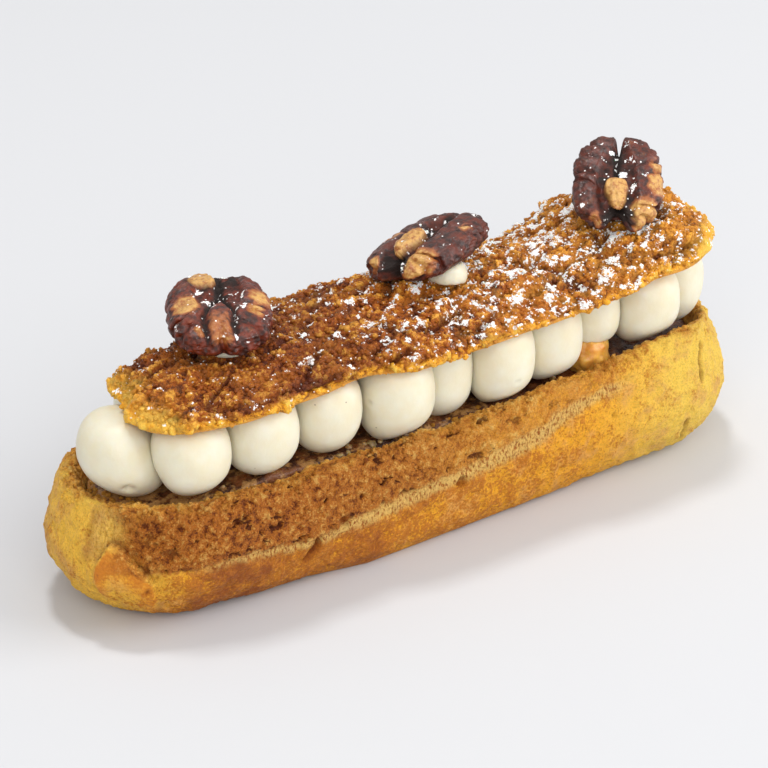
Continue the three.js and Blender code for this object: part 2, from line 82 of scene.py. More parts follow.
# Burst bubbles in the base's crust: middle and radius, in mm
PITS = (((-25.4, -19.1, 12.5), 1.3), ((0, -18.9, 12.1), 1.1), ((34, -19.4, 15.4), 0.7))
# A flap of crust lifted round the left end: angle about that end, in degrees, and height of its lip, in mm
FLAP_LIP = ((204, 11.5), (208.5, 14.5), (213, 17.3), (219, 16.9), (226, 15), (234, 12.6), (238, 10.5))
# Where the left end's skin ends and a torn strip begins: angle about that end, in degrees
TEAR_EDGE = 199.5
# How far the base's flank is browned, with painted shade towards the left: place along the eclair in mm, and
# share
TOAST_AND_SHADE = ((-71, -0.3), (-61, 0.1), (-52, 1.1), (-25, 1), (0, 0.6), (20, 0.25), (45, -0.15), (71, -0.2))
# How far the slab turns from crust to pale crumb: place along the eclair in mm, and share
SLAB_PALE = ((-35, 0), (-10, 0.2), (8, 0.75), (30, 0.9))
# How thickly sugar lies on the lid, how far it is browned, with painted shade beside the first nut, and how
# golden it is: place in mm, and share
LID_SUGAR = ((-62, 0.3), (-42, 0.35), (-24, 0.5), (-4, 0.85), (14, 1.15), (50, 1.2), (62, 0.7))
LID_TOAST_AND_SHADE = ((-60, 0), (-42, 0.7), (-22, 1), (-6, 0.1))
LID_GOLD = ((20, 0), (54, 0.45))
# How far the base's front bulges over its foot: place along the eclair and depth of the bulge, in mm
FOOT_BULGE = (
    (-71, 1.1), (-62, 0.9), (-55, 0.3), (-47, 0.1), (-40, 0.8), (-30, 0.8), (-24, 1.4), (-18, 2),
    (-8, 1.6), (2, 1.2), (12, 0.8), (24, 0.5), (34, 0),
)

# Pecan halves. "turn", "tip" and "roll" are angles about Z, Y and X in degrees, and "seed" varies wrinkles.
# "notch" is the depth of the notch in its end, "wedge" how far a wedge stands in its valley, "floor" the
# valley's width, "open" how open its other end is, and "dark" how dark its skin is. "nub" has a start, an
# end, a place to one side, half a width and a height. Each "bare" patch has a place along, a place across,
# a size and a strength. Places and sizes are shares of the half's own half sizes.
NUTS = (
    {
        "turn": -118, "tip": 4, "roll": 0, "seed": 3, "notch": 0.1, "wedge": 1.0, "floor": 0.42, "open": 0.0,
        "nub": (-1.05, -0.4, -0.32, 0.42, 0.02), "dark": 0.15,
        "bare": (
            (0.15, -0.62, 0.3, 1.1), (-0.05, 0.82, 0.24, 1.0),
            (0.3, 0.68, 0.22, 0.9), (0.75, -0.45, 0.14, 0.8),
        ),
    },
    {
        "turn": 18, "tip": -6, "roll": -15, "seed": 8, "notch": 0.3, "wedge": 0.0, "floor": 0.32, "open": 1.0,
        "nub": (-0.84, 0.02, 0.0, 0.4, 0.26), "dark": 0.7,
        "bare": (
            (-0.78, -0.55, 0.34, 1.2), (-0.85, 0.5, 0.2, 0.9),
            (-0.1, 0.75, 0.16, 0.8), (0.3, -0.75, 0.14, 0.8),
        ),
    },
    {
        "turn": 51, "tip": -26, "roll": 2, "seed": 14, "notch": 0.42, "wedge": 0.0, "floor": 0.4, "open": 1.0,
        "nub": (-0.88, -0.08, 0.0, 0.44, 0.3), "dark": 0.7,
        "bare": (
            (-0.75, -0.6, 0.38, 1.2), (-0.1, -0.9, 0.26, 1.0),
            (0.35, -0.85, 0.18, 0.8), (-0.9, 0.5, 0.16, 0.8),
        ),
    },
)
# Folds across each lobe of a pecan half, and half its usual size in mm, which its wrinkles are sized for
NUT_FOLDS = 7
NUT_HALF = (12.5, 9.2, 4.4)

# Middle of a burst bubble low on the end drop, in mm
BURST_BUBBLE = (-61.3, -7.2, 25.1)

# Soft square lights: name, place and width in metres, and watts
LIGHTS = (
    ("overhead", (0.05, 0.27, 1.15), 0.17, 5.2),
    ("left_front", (-0.7, -1.1, 0.75), 1.2, 12.0),
    ("right_front", (0.8, -0.6, 0.55), 0.9, 9.2),
)
# What the camera looks at, in mm, and the way from there to the camera
CAMERA_AIM = (-3.52, 0.40, 24.65)
CAMERA_WAY = (-0.5111, -0.7299, 0.4540)

CREAM_NODES = sorted(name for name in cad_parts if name.startswith("cream_"))
DAB_NODES = sorted(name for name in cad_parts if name.startswith("dab_"))


def srgb(red, green, blue):
    """A colour given as it shows on screen, 0 to 255, as the linear colour that a shader takes."""
    shares = (channel / 255 for channel in (red, green, blue))
    linear = [share / 12.92 if share <= 0.04045 else ((share + 0.055) / 1.055) ** 2.4 for share in shares]
    return (*linear, 1.0)


def length(label, text, millimetres):
    """A length that a user may change."""
    return FloatProperty(name=label, description=text, default=millimetres * MM, unit="LENGTH", precision=5)


def share(label, text, value):
    """A plain factor that a user may change."""
    return FloatProperty(name=label, description=text, default=value, min=0.0, subtype="FACTOR", soft_max=1.0)


def colour(label, text, red, green, blue):
    """A colour that a user may change."""
    default = srgb(red, green, blue)
    return FloatVectorProperty(
        name=label, description=text, default=default, size=4, min=0.0, max=1.0, subtype="COLOR"
    )


# Numbers over many points at once


def smooth(start, end, value):
    """0 before start, 1 after end, and a soft step between."""
    step = np.clip((value - start) / (end - start), 0, 1)
    return step * step * (3 - 2 * step)


def read_off(table, places):
    """A table of places and values, read off at each given place, straight between its rows."""
    return np.interp(places, *zip(*table))


def lumps(points, size, seed):
    """Smooth noise from -1 to 1 with lumps of the given size, the same on every run."""
    scaled = points / size + 13.7 * seed
    cell = np.floor(scaled).astype(np.int64)
    inside = scaled - cell
    weight = inside * inside * (3 - 2 * inside)
    total = np.zeros(len(points))
    for corner in itertools.product((0, 1), repeat=3):
        x, y, z = (cell + np.array(corner)).T
        mixed = (x * 73856093) ^ (y * 19349663) ^ (z * 83492791) ^ (seed * 40503)
        mixed = (mixed ^ (mixed >> 13)) * 1274126177
        value = ((mixed ^ (mixed >> 16)) & 0xFFFF) / 32767.5 - 1
        total += value * np.prod(np.where(corner, weight, 1 - weight), axis=1)
    return total


def distance_to_line(points, line):
    """Distance from each point to a line of straight pieces."""
    nearest = np.full(len(points), np.inf)
    for start, end in zip(np.array(line[:-1]), np.array(line[1:])):
        along = end - start
        part = np.clip((points - start) @ along / (along @ along), 0, 1)
        nearest = np.minimum(nearest, np.linalg.norm(points - start - part[:, None] * along, axis=1))
    return nearest


def points_of(mesh):
    flat = np.empty(len(mesh.vertices) * 3, np.float32)
    mesh.vertices.foreach_get("co", flat)
    return flat.reshape(-1, 3).astype(float)


def normals_of(mesh):
    flat = np.empty(len(mesh.vertices) * 3, np.float32)
    mesh.vertex_normals.foreach_get("vector", flat)
    return flat.reshape(-1, 3).astype(float)


def put_points(mesh, points):
    mesh.vertices.foreach_set("co", points.astype(np.float32).ravel())
    mesh.update()


def put_attribute(mesh, name, values):
    """Keeps one number for each point of the mesh, for the node trees and materials to read."""
    kept = mesh.attributes.get(name) or mesh.attributes.new(name, "FLOAT", "POINT")
    kept.data.foreach_set("value", values.astype(np.float32))


def attribute_of(mesh, name):
    """The numbers kept for each point of the mesh under a name."""
    values = np.empty(len(mesh.vertices), np.float32)
    mesh.attributes[name].data.foreach_get("value", values)
    return values


# Making, settling and handing over pieces


def new_piece(name, mesh):
    piece = bpy.data.objects.new(name, mesh)
    bpy.context.scene.collection.objects.link(piece)
    return piece


def mesh_from(shape, name):
    """A mesh from a bmesh, which is let go."""
    mesh = bpy.data.meshes.new(name)
    shape.to_mesh(mesh)
    shape.free()
    return mesh


def settle(piece):
    """Turns what the piece's modifiers make into its plain mesh."""
    bpy.context.view_layer.update()
    depsgraph = bpy.context.evaluated_depsgraph_get()
    evaluated = piece.evaluated_get(depsgraph)
    made = bpy.data.meshes.new_from_object(evaluated, preserve_all_data_layers=True, depsgraph=depsgraph)
    if not made.polygons:
        raise RuntimeError(f"{piece.name} came out empty")
    old = piece.data
    piece.modifiers.clear()
    piece.data = made
    made.name = piece.name
    bpy.data.meshes.remove(old)


def soft_copy(node, name, levels, mesh_size=None, relax=0):
    """A copy of a solid with its facets rounded off, and where a mesh size is given, with an even mesh."""
    shape = bmesh.new()
    shape.from_mesh(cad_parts[node].data)
    bmesh.ops.remove_doubles(shape, verts=shape.verts, dist=1e-6)
    bmesh.ops.join_triangles(
        shape, faces=shape.faces, angle_face_threshold=math.pi, angle_shape_threshold=math.pi
    )
    piece = new_piece(name, mesh_from(shape, name))
    rounding = piece.modifiers.new("rounding", "SUBSURF")
    rounding.levels = rounding.render_levels = levels
    if mesh_size:
        evening = piece.modifiers.new("evening", "REMESH")
        evening.mode = "VOXEL"
        evening.voxel_size = mesh_size
        relaxing = piece.modifiers.new("relaxing", "SMOOTH")
        relaxing.factor = 0.5
        relaxing.iterations = relax
    settle(piece)
    piece.data.shade_smooth()
    return piece


def made_once(make):
    """The node tree that a function makes, which has the function's name, made when first asked for."""
    return bpy.data.node_groups.get(make.__name__) or make()


def run_tree(piece, make, values):
    """Runs a geometry tree on a piece with the given inputs and keeps the result as its mesh."""
    tree = made_once(make)
    modifier = piece.modifiers.new(tree.name, "NODES")
    modifier.node_group = tree
    sockets = {item.name: item.identifier for item in tree.interface.items_tree if item.in_out == "INPUT"}
    for label, value in values.items():
        modifier[sockets[label]] = value
    settle(piece)


def hand_over(piece, nodes=()):
    """Joins a finished piece to the body and hides the solids it stands for."""
    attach(piece, "root")
    if nodes:
        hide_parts(*nodes)


def strew(name, mesh, values):
    """Hands over a piece made of bits strewn over a mesh, where its sown attribute is high."""
    piece = new_piece(name, mesh)
    run_tree(piece, sown_bits, values)
    hand_over(piece)


# Node trees


def add_node(tree, kind, inputs=None, **options):
    """Adds a node, sets its options, and sets or links its inputs, each given by its name or number."""
    made = tree.nodes.new(kind)
    for option, value in options.items():
        setattr(made, option, value)
    for key, value in (inputs or {}).items():
        if isinstance(value, bpy.types.NodeSocket):
            tree.links.new(value, made.inputs[key])
        else:
            made.inputs[key].default_value = value
    return made


def calc(tree, operation, *values):
    return add_node(tree, "ShaderNodeMath", dict(enumerate(values)), operation=operation).outputs[0]


def product(tree, first, *others):
    for other in others:
        first = calc(tree, "MULTIPLY", first, other)
    return first


def total(tree, first, *others):
    for other in others:
        first = calc(tree, "ADD", first, other)
    return first


def from_middle(tree, value, middle=0.5):
    """The value counted from a middle one."""
    return calc(tree, "SUBTRACT", value, middle)


def axis_of(tree, way, axis):
    return add_node(tree, "ShaderNodeSeparateXYZ", {0: way}).outputs[axis]


def vector(tree, operation, *values):
    return add_node(tree, "ShaderNodeVectorMath", dict(enumerate(values)), operation=operation).outputs[0]


def scaled(tree, way, amount):
    return add_node(tree, "ShaderNodeVectorMath", {0: way, "Scale": amount}, operation="SCALE").outputs[0]


def remap(tree, value, start, end, low=0.0, high=1.0):
    """A soft step from low, where value is at start, to high, where it is at end."""
    inputs = {"Value": value, "From Min": start, "From Max": end, "To Min": low, "To Max": high}
    return add_node(tree, "ShaderNodeMapRange", inputs, interpolation_type="SMOOTHSTEP").outputs["Result"]


def per(tree, size):
    """The texture scale for lumps of a size, which is a number or a socket."""
    return calc(tree, "DIVIDE", 1.0, size) if isinstance(size, bpy.types.NodeSocket) else 1 / size


def noise(tree, place, size, detail=2.0, roughness=0.5, shift=0.0, output="Fac"):
    moved = vector(tree, "ADD", place, (shift, shift, shift)) if shift else place
    inputs = {"Vector": moved, "Scale": per(tree, size), "Detail": detail, "Roughness": roughness}
    return add_node(tree, "ShaderNodeTexNoise", inputs).outputs[output]


def cells(tree, place, size, feature="F1"):
    inputs = {"Vector": place, "Scale": per(tree, size)}
    return add_node(tree, "ShaderNodeTexVoronoi", inputs, feature=feature)


def bumps(tree, place, size, uneven):
    """Round grains packed side by side, from 0 between them to 1 on top of the tallest."""
    packed = cells(tree, place, size)
    rounded = calc(tree, "SUBTRACT", 1.0, calc(tree, "POWER", packed.outputs["Distance"], 2.0))
    draw = axis_of(tree, packed.outputs["Color"], 0)
    tall = calc(tree, "MULTIPLY_ADD", draw, uneven, 1.0 - uneven)
    return calc(tree, "MAXIMUM", product(tree, rounded, tall), 0.0)


def stirred(tree, place, size, amount):
    """The place moved about by noise, so that packed grains lose their even look."""
    stir = vector(tree, "SUBTRACT", noise(tree, place, size, output="Color"), (0.5, 0.5, 0.5))
    return vector(tree, "ADD", place, scaled(tree, stir, amount))


def blend(tree, factor, under, over, mode="MIX"):
    inputs = {0: factor, 6: under, 7: over}
    return add_node(tree, "ShaderNodeMix", inputs, data_type="RGBA", blend_type=mode).outputs[2]


def crumb_field(tree, place, crumb_size, grain_size):
    """How high a point lies among packed and broken crumbs: about 0 between them and 1 on their tips."""
    loose = stirred(tree, place, crumb_size, product(tree, crumb_size, 0.9))
    broken = from_middle(tree, noise(tree, loose, crumb_size, 5.0, 0.7))
    return total(
        tree,
        product(tree, bumps(tree, loose, crumb_size, 0.75), 0.45),
        product(tree, bumps(tree, loose, grain_size, 0.6), 0.3),
        product(tree, broken, 1.8),
    )


def fissure_field(tree, place, plate_size):
    """Narrow cracks between lengthwise plates of crust, open in places: 1 in a crack."""
    loose = stirred(tree, place, 1.5 * MM, 1.4 * MM)
    turned = add_node(tree, "ShaderNodeVectorRotate", {"Vector": loose, "Angle": -0.25}).outputs[0]
    drawn_out = vector(tree, "MULTIPLY", turned, (0.4, 1.0, 1.0))
    plates = cells(tree, drawn_out, plate_size, "DISTANCE_TO_EDGE").outputs["Distance"]
    open_here = remap(tree, noise(tree, place, 11 * MM, shift=0.3), 0.38, 0.54)
    return product(tree, remap(tree, plates, 0.1, 0.01), open_here)


def pore_field(tree, place, spacing):
    """Pores of a crumbly crust, drawn out lengthwise: 1 in a pore."""
    loose = stirred(tree, place, spacing, product(tree, spacing, 0.6))
    drawn_out = vector(tree, "MULTIPLY", loose, (0.65, 1.0, 1.0))
    crowded = remap(tree, noise(tree, place, 9 * MM, shift=0.2), 0.3, 0.7, -0.05, 0.05)
    eaten = calc(tree, "SUBTRACT", noise(tree, drawn_out, spacing, 3.0, 0.6), crowded)
    return remap(tree, eaten, 0.4, 0.35)


def upright_field(tree, place, size, stretched):
    """Noise drawn out along Z, for threads and streaks that run up a wall."""
    return noise(tree, vector(tree, "MULTIPLY", place, (1.0, 1.0, 1 / stretched)), size, 4.0, 0.6)


def patch_field(tree, place, size, amount):
    """Noise for what lies in patches, which grow where the amount is larger."""
    patches = noise(tree, place, size, 3.0, 0.6)
    return calc(tree, "MULTIPLY_ADD", calc(tree, "SUBTRACT", amount, 1.0), 0.12, patches)


def tree_with(kind, name, inputs, outputs):
    """A new node tree with named sockets, each label given with the kind of its socket."""
    tree = bpy.data.node_groups.new(name, kind)
    for way, sockets in (("INPUT", inputs), ("OUTPUT", outputs)):
        for label, socket in sockets.items():
            tree.interface.new_socket(label, in_out=way, socket_type="NodeSocket" + socket)
    entry = tree.nodes.new("NodeGroupInput")
    leave = tree.nodes.new("NodeGroupOutput")
    return tree, entry.outputs, leave.inputs


def geometry_tree(name, inputs):
    sockets = {"Geometry": "Geometry", **inputs}
    return tree_with("GeometryNodeTree", name, sockets, {"Geometry": "Geometry"})


def position(tree):
    return add_node(tree, "GeometryNodeInputPosition").outputs[0]


def random_vector(tree, low, high, seed):
    inputs = {0: low, 1: high, "Seed": seed}
    return add_node(tree, "FunctionNodeRandomValue", inputs, data_type="FLOAT_VECTOR").outputs[0]


def stored(tree, geometry, label, value, kind="FLOAT"):
    inputs = {"Geometry": geometry, "Name": label, "Value": value}
    return add_node(tree, "GeometryNodeStoreNamedAttribute", inputs, data_type=kind).outputs[0]


def kept(tree, label):
    inputs = {"Name": label}
    return add_node(tree, "GeometryNodeInputNamedAttribute", inputs, data_type="FLOAT").outputs[0]


def raised(tree, geometry, height):
    """The geometry moved along its own normals."""
    normal = add_node(tree, "GeometryNodeInputNormal").outputs[0]
    inputs = {"Geometry": geometry, "Offset": scaled(tree, normal, height)}
    return add_node(tree, "GeometryNodeSetPosition", inputs).outputs[0]


def finished(tree, geometry, material, leave):
    """Ends a geometry tree: real, smoothly shaded geometry with its material."""
    real = add_node(tree, "GeometryNodeRealizeInstances", {"Geometry": geometry}).outputs[0]
    even = add_node(tree, "GeometryNodeSetShadeSmooth", {"Geometry": real}).outputs[0]
    dressed = add_node(tree, "GeometryNodeSetMaterial", {"Geometry": even, "Material": material}).outputs[0]
    tree.links.new(dressed, leave["Geometry"])


# Relief of each surface, as geometry trees


def lid_relief():
    """Plates, ledges and crumbs of the crackled lid. Its flat underside stays a plain cut."""
    lengths = (
        "Plate Size", "Fissure Depth", "Crumb Size", "Grain Size", "Crumb Height",
        "Swell Size", "Swell Height", "Ledge Height", "Ragged Edge",
    )
    sockets = {label: "Float" for label in lengths}
    tree, given, leave = geometry_tree("lid_relief", {**sockets, "Finish": "Material"})
    place = position(tree)
    normal = add_node(tree, "GeometryNodeInputNormal").outputs[0]
    facing_up = axis_of(tree, normal, 2)
    rind = remap(tree, facing_up, -0.85, -0.35)
    side = product(tree, remap(tree, facing_up, 0.7, 0.1), rind)

    crumbs = crumb_field(tree, place, given["Crumb Size"], given["Grain Size"])
    fissure = fissure_field(tree, place, given["Plate Size"])
    swell = noise(tree, place, given["Swell Size"], 3.0)
    sheets = noise(tree, vector(tree, "MULTIPLY", place, (0.35, 1.0, 1.0)), given["Plate Size"], shift=0.9)
    ledge = remap(tree, sheets, 0.47, 0.53)
    torn = noise(tree, place, 2.6 * MM, 4.0, 0.65, shift=0.7)

    rough = total(
        tree,
        product(tree, from_middle(tree, crumbs, 0.35), given["Crumb Height"]),
        product(tree, fissure, given["Fissure Depth"], -1.0),
        product(tree, from_middle(tree, torn, 0.38), side, given["Ragged Edge"]),
        product(tree, from_middle(tree, swell), given["Swell Height"]),
        product(tree, from_middle(tree, ledge), given["Ledge Height"]),
    )
    calm = remap(tree, kept(tree, "nose"), 0.0, 1.0, 1.0, 0.45)
    marked = stored(tree, given["Geometry"], "rest", place, "FLOAT_VECTOR")
    marked = stored(tree, marked, "rind", rind)
    marked = stored(tree, marked, "side", side)
    finished(tree, raised(tree, marked, product(tree, rough, rind, calm)), given["Finish"], leave)
    return tree


def base_relief():
    """Crumbs and pores of the slab, threads of the torn band, and the uneven skin of the plain choux."""
    lengths = (
        "Crumb Size", "Grain Size", "Crumb Height", "Pore Spacing", "Pore Depth",
        "Thread Size", "Thread Height", "Streak Size", "Streak Height", "Swell Size", "Swell Height",
    )
    sockets = {label: "Float" for label in lengths}
    tree, given, leave = geometry_tree("base_relief", {**sockets, "Finish": "Material"})
    place = position(tree)
    slab, stretch, cut, calm = (kept(tree, label) for label in ("slab", "stretch", "cut", "calm"))

    crumbs = crumb_field(tree, place, given["Crumb Size"], given["Grain Size"])
    pore = product(tree, pore_field(tree, place, given["Pore Spacing"]), kept(tree, "porous"))
    threads = upright_field(tree, place, given["Thread Size"], 2.2)
    streaks = upright_field(tree, place, given["Streak Size"], 2.0)
    swell = noise(tree, place, given["Swell Size"], 5.0, 0.6)
    crumbly = calc(tree, "MAXIMUM", slab, cut)
    ragged = calc(tree, "MULTIPLY_ADD", kept(tree, "rim"), 0.9, crumbly)
    gentle = calc(tree, "MULTIPLY_ADD", calm, -0.7, 1.0)
    plain = product(tree, calc(tree, "SUBTRACT", 1.0, crumbly), gentle)

    rough = total(
        tree,
        product(tree, from_middle(tree, crumbs, 0.35), given["Crumb Height"], ragged),
        product(tree, pore, given["Pore Depth"], -1.0),
        product(tree, from_middle(tree, threads), stretch, given["Thread Height"]),
        product(tree, from_middle(tree, streaks), plain, given["Streak Height"]),
        product(tree, from_middle(tree, swell), given["Swell Height"], gentle),
    )
    lying = axis_of(tree, place, 2)
    off_table = remap(tree, lying, 0.0, 2 * MM)
    marked = stored(tree, given["Geometry"], "rest", place, "FLOAT_VECTOR")
    finished(tree, raised(tree, marked, product(tree, rough, off_table)), given["Finish"], leave)
    return tree


def cream_surface():
    """Piped cream: swollen until it meets its neighbours, a little uneven, with a few burst bubbles."""
    lengths = ("Swell", "Unevenness", "Uneven Size", "Bubble Spacing", "Bubble Depth")
    sockets = {label: "Float" for label in lengths}
    tree, given, leave = geometry_tree("cream_surface", {**sockets, "Finish": "Material"})
    place = position(tree)
    uneven = from_middle(tree, noise(tree, place, given["Uneven Size"], 2.0, 0.45))
    spread = cells(tree, place, given["Bubble Spacing"])
    draw = axis_of(tree, spread.outputs["Color"], 0)
    burst = calc(tree, "GREATER_THAN", draw, 0.72)
    bubble = product(tree, remap(tree, spread.outputs["Distance"], 0.16, 0.06), burst)
    height = total(
        tree,
        product(tree, uneven, given["Unevenness"]),
        product(tree, bubble, given["Bubble Depth"], -1.0),
        given["Swell"],
    )
    finished(tree, raised(tree, given["Geometry"], height), given["Finish"], leave)
    return tree


def wet_surface():
    """Compote and fruit: soft lumps over a wet surface."""
    sockets = {"Swell": "Float", "Lump Size": "Float", "Lump Height": "Float", "Finish": "Material"}
    tree, given, leave = geometry_tree("wet_surface", sockets)
    place = position(tree)
    lump = from_middle(tree, noise(tree, place, given["Lump Size"], 3.0, 0.55))
    height = total(tree, product(tree, lump, given["Lump Height"]), given["Swell"])
    finished(tree, raised(tree, given["Geometry"], height), given["Finish"], leave)
    return tree


def sown_bits():
    """Small lumpy bits strewn over a surface, thickest where its sown attribute is high, and in patches."""
    sockets = {
        "Density": "Float", "Smallest": "Float", "Largest": "Float", "Flatness": "Float",
        "Patch Size": "Float", "Patch Least": "Float", "Seed": "Int", "Finish": "Material",
    }
    tree, given, leave = geometry_tree("sown_bits", sockets)
    place = position(tree)
    sown = kept(tree, "sown")
    patches = patch_field(tree, place, given["Patch Size"], sown)
    edge = calc(tree, "ADD", given["Patch Least"], 0.06)
    density = product(tree, sown, remap(tree, patches, given["Patch Least"], edge), given["Density"])
    spots = add_node(
        tree,
        "GeometryNodeDistributePointsOnFaces",
        {"Mesh": given["Geometry"], "Density": density, "Seed": given["Seed"]},
        distribute_method="RANDOM",
    )
    size = add_node(
        tree,
        "FunctionNodeRandomValue",
        {"Min": given["Smallest"], "Max": given["Largest"], "Seed": given["Seed"]},
        data_type="FLOAT",
    )
    size = next(socket for socket in size.outputs if socket.enabled)
    form = random_vector(tree, (0.65, 0.65, 0.65), (1.2, 1.2, 1.0), seed=5)
    flat = add_node(tree, "ShaderNodeCombineXYZ", {0: 1.0, 1: 1.0, 2: given["Flatness"]}).outputs[0]
    stretched = scaled(tree, vector(tree, "MULTIPLY", form, flat), size)
    bit = add_node(tree, "GeometryNodeMeshIcoSphere", {"Radius": 0.5, "Subdivisions": 1}).outputs[0]
    inputs = {"Points": spots.outputs["Points"], "Instance": bit, "Scale": stretched}
    placed = add_node(tree, "GeometryNodeInstanceOnPoints", {**inputs, "Rotation": spots.outputs["Rotation"]})
    spin = random_vector(tree, (0.0, 0.0, 0.0), (0.6, 0.6, 6.283), seed=9)
    spun = add_node(
        tree, "GeometryNodeRotateInstances", {"Instances": placed.outputs[0], "Rotation": spin}
    ).outputs[0]
    real = add_node(tree, "GeometryNodeRealizeInstances", {"Geometry": spun}).outputs[0]
    stir = vector(
        tree, "SUBTRACT", noise(tree, place, given["Smallest"], 1.0, output="Color"), (0.5, 0.5, 0.5)
    )
    inputs = {"Geometry": real, "Offset": scaled(tree, stir, calc(tree, "MULTIPLY", given["Smallest"], 0.9))}
    lumpy = add_node(tree, "GeometryNodeSetPosition", inputs).outputs[0]
    finished(tree, lumpy, given["Finish"], leave)
    return tree


# Effects that several materials share, as shader groups


def crumb_level():
    """How high a point lies among packed crumbs, with grit and wide unevenness, for painting shade between
    crumbs and highlights on their tips.
    """
    inputs = {"Rest": "Vector", "Crumb Size": "Float", "Grain Size": "Float", "Contrast": "Float"}
    tree, given, leave = tree_with("ShaderNodeTree", "crumb_level", inputs, {"Level": "Float"})
    place = object_place(tree)
    crumbs = crumb_field(tree, given["Rest"], given["Crumb Size"], given["Grain Size"])
    grit = noise(tree, place, 0.35 * MM, 3.0, 0.7)
    uneven = noise(tree, place, 4.5 * MM, 3.0, 0.6, shift=0.4)
    level = total(
        tree,
        product(tree, from_middle(tree, crumbs, 0.35), given["Contrast"]),
        0.47,
        product(tree, from_middle(tree, grit), 1.1),
        product(tree, from_middle(tree, uneven), 0.8),
    )
    tree.links.new(level, leave["Level"])
    return tree


def sugar_dust():
    """Where fine sugar lies on what faces up: in patches, and as single grains strewn between them."""
    inputs = {"Amount": "Float", "Patch Size": "Float", "Patch Least": "Float", "Level": "Float"}
    tree, given, leave = tree_with("ShaderNodeTree", "sugar_dust", inputs, {"Mask": "Float"})
    place = object_place(tree)
    normal = add_node(tree, "ShaderNodeNewGeometry").outputs["Normal"]
    facing_up = remap(tree, axis_of(tree, normal, 2), 0.1, 0.55)
    powder = noise(tree, place, 0.5 * MM, 2.0, 0.7)
    heaped = total(
        tree,
        patch_field(tree, place, given["Patch Size"], given["Amount"]),
        product(tree, from_middle(tree, powder), 0.22),
        product(tree, from_middle(tree, given["Level"]), 0.1),
    )
    edge = calc(tree, "ADD", given["Patch Least"], 0.05)
    mask = remap(tree, heaped, given["Patch Least"], edge)
    strewn = cells(tree, place, 0.6 * MM)
    draw = axis_of(tree, strewn.outputs["Color"], 1)
    chosen = calc(tree, "LESS_THAN", draw, product(tree, given["Amount"], 0.18))
    single = product(tree, remap(tree, strewn.outputs["Distance"], 0.36, 0.16), chosen)
    tree.links.new(product(tree, calc(tree, "MAXIMUM", mask, single), facing_up), leave["Mask"])
    return tree


def browning_blotches():
    """Uneven browning: soft blotches of one size broken up by finer ones."""
    inputs = {"Size": "Float", "Start": "Float", "End": "Float"}
    tree, given, leave = tree_with("ShaderNodeTree", "browning_blotches", inputs, {"Mask": "Float"})
    place = object_place(tree)
    blotch = noise(tree, place, given["Size"], 5.0, 0.62, shift=0.1)
    tree.links.new(remap(tree, blotch, given["Start"], given["End"]), leave["Mask"])
    return tree


def shared(tree, make, inputs):
    """Places a shared effect in a material."""
    return add_node(tree, "ShaderNodeGroup", inputs, node_tree=made_once(make)).outputs


# Materials


def new_material(name, **sockets):
    """A material, its node tree and its Principled shader, whose even values are set here."""
    material = bpy.data.materials.new(name)
    material.use_nodes = True
    tree = material.node_tree
    shader = tree.nodes["Principled BSDF"]
    for label, value in sockets.items():
        shader.inputs[label.replace("_", " ").title().replace("Ior", "IOR")].default_value = value
    return material, tree, shader


def object_place(tree):
    return add_node(tree, "ShaderNodeTexCoord").outputs["Object"]


def attribute(tree, label):
    return add_node(tree, "ShaderNodeAttribute", attribute_name=label).outputs["Fac"]


def rest_place(tree):
    """Where a point of a crust lay before its relief was raised."""
    return add_node(tree, "ShaderNodeAttribute", attribute_name="rest").outputs["Vector"]


def crumb_colour(tree, level, dark, middle, tip):
    """Colour of packed crumbs: painted shade between them, brown on their flanks and a golden painted
    highlight on their tips.
    """
    flank = blend(tree, remap(tree, level, 0.1, 0.5), dark, middle)
    return blend(tree, remap(tree, level, 0.5, 0.95), flank, tip)


def bump(tree, shader, height, distance):
    inputs = {"Height": height, "Distance": distance, "Strength": 1.0}
    tree.links.new(add_node(tree, "ShaderNodeBump", inputs).outputs[0], shader.inputs["Normal"])


def dust_mask(tree, sugar, level):
    """Where fine sugar lies on a surface, by its dusted attribute."""
    return shared(tree, sugar_dust, {
        "Amount": attribute(tree, "dusted"), "Patch Size": sugar.patch_size,
        "Patch Least": sugar.patch_least, "Level": level,
    })["Mask"]


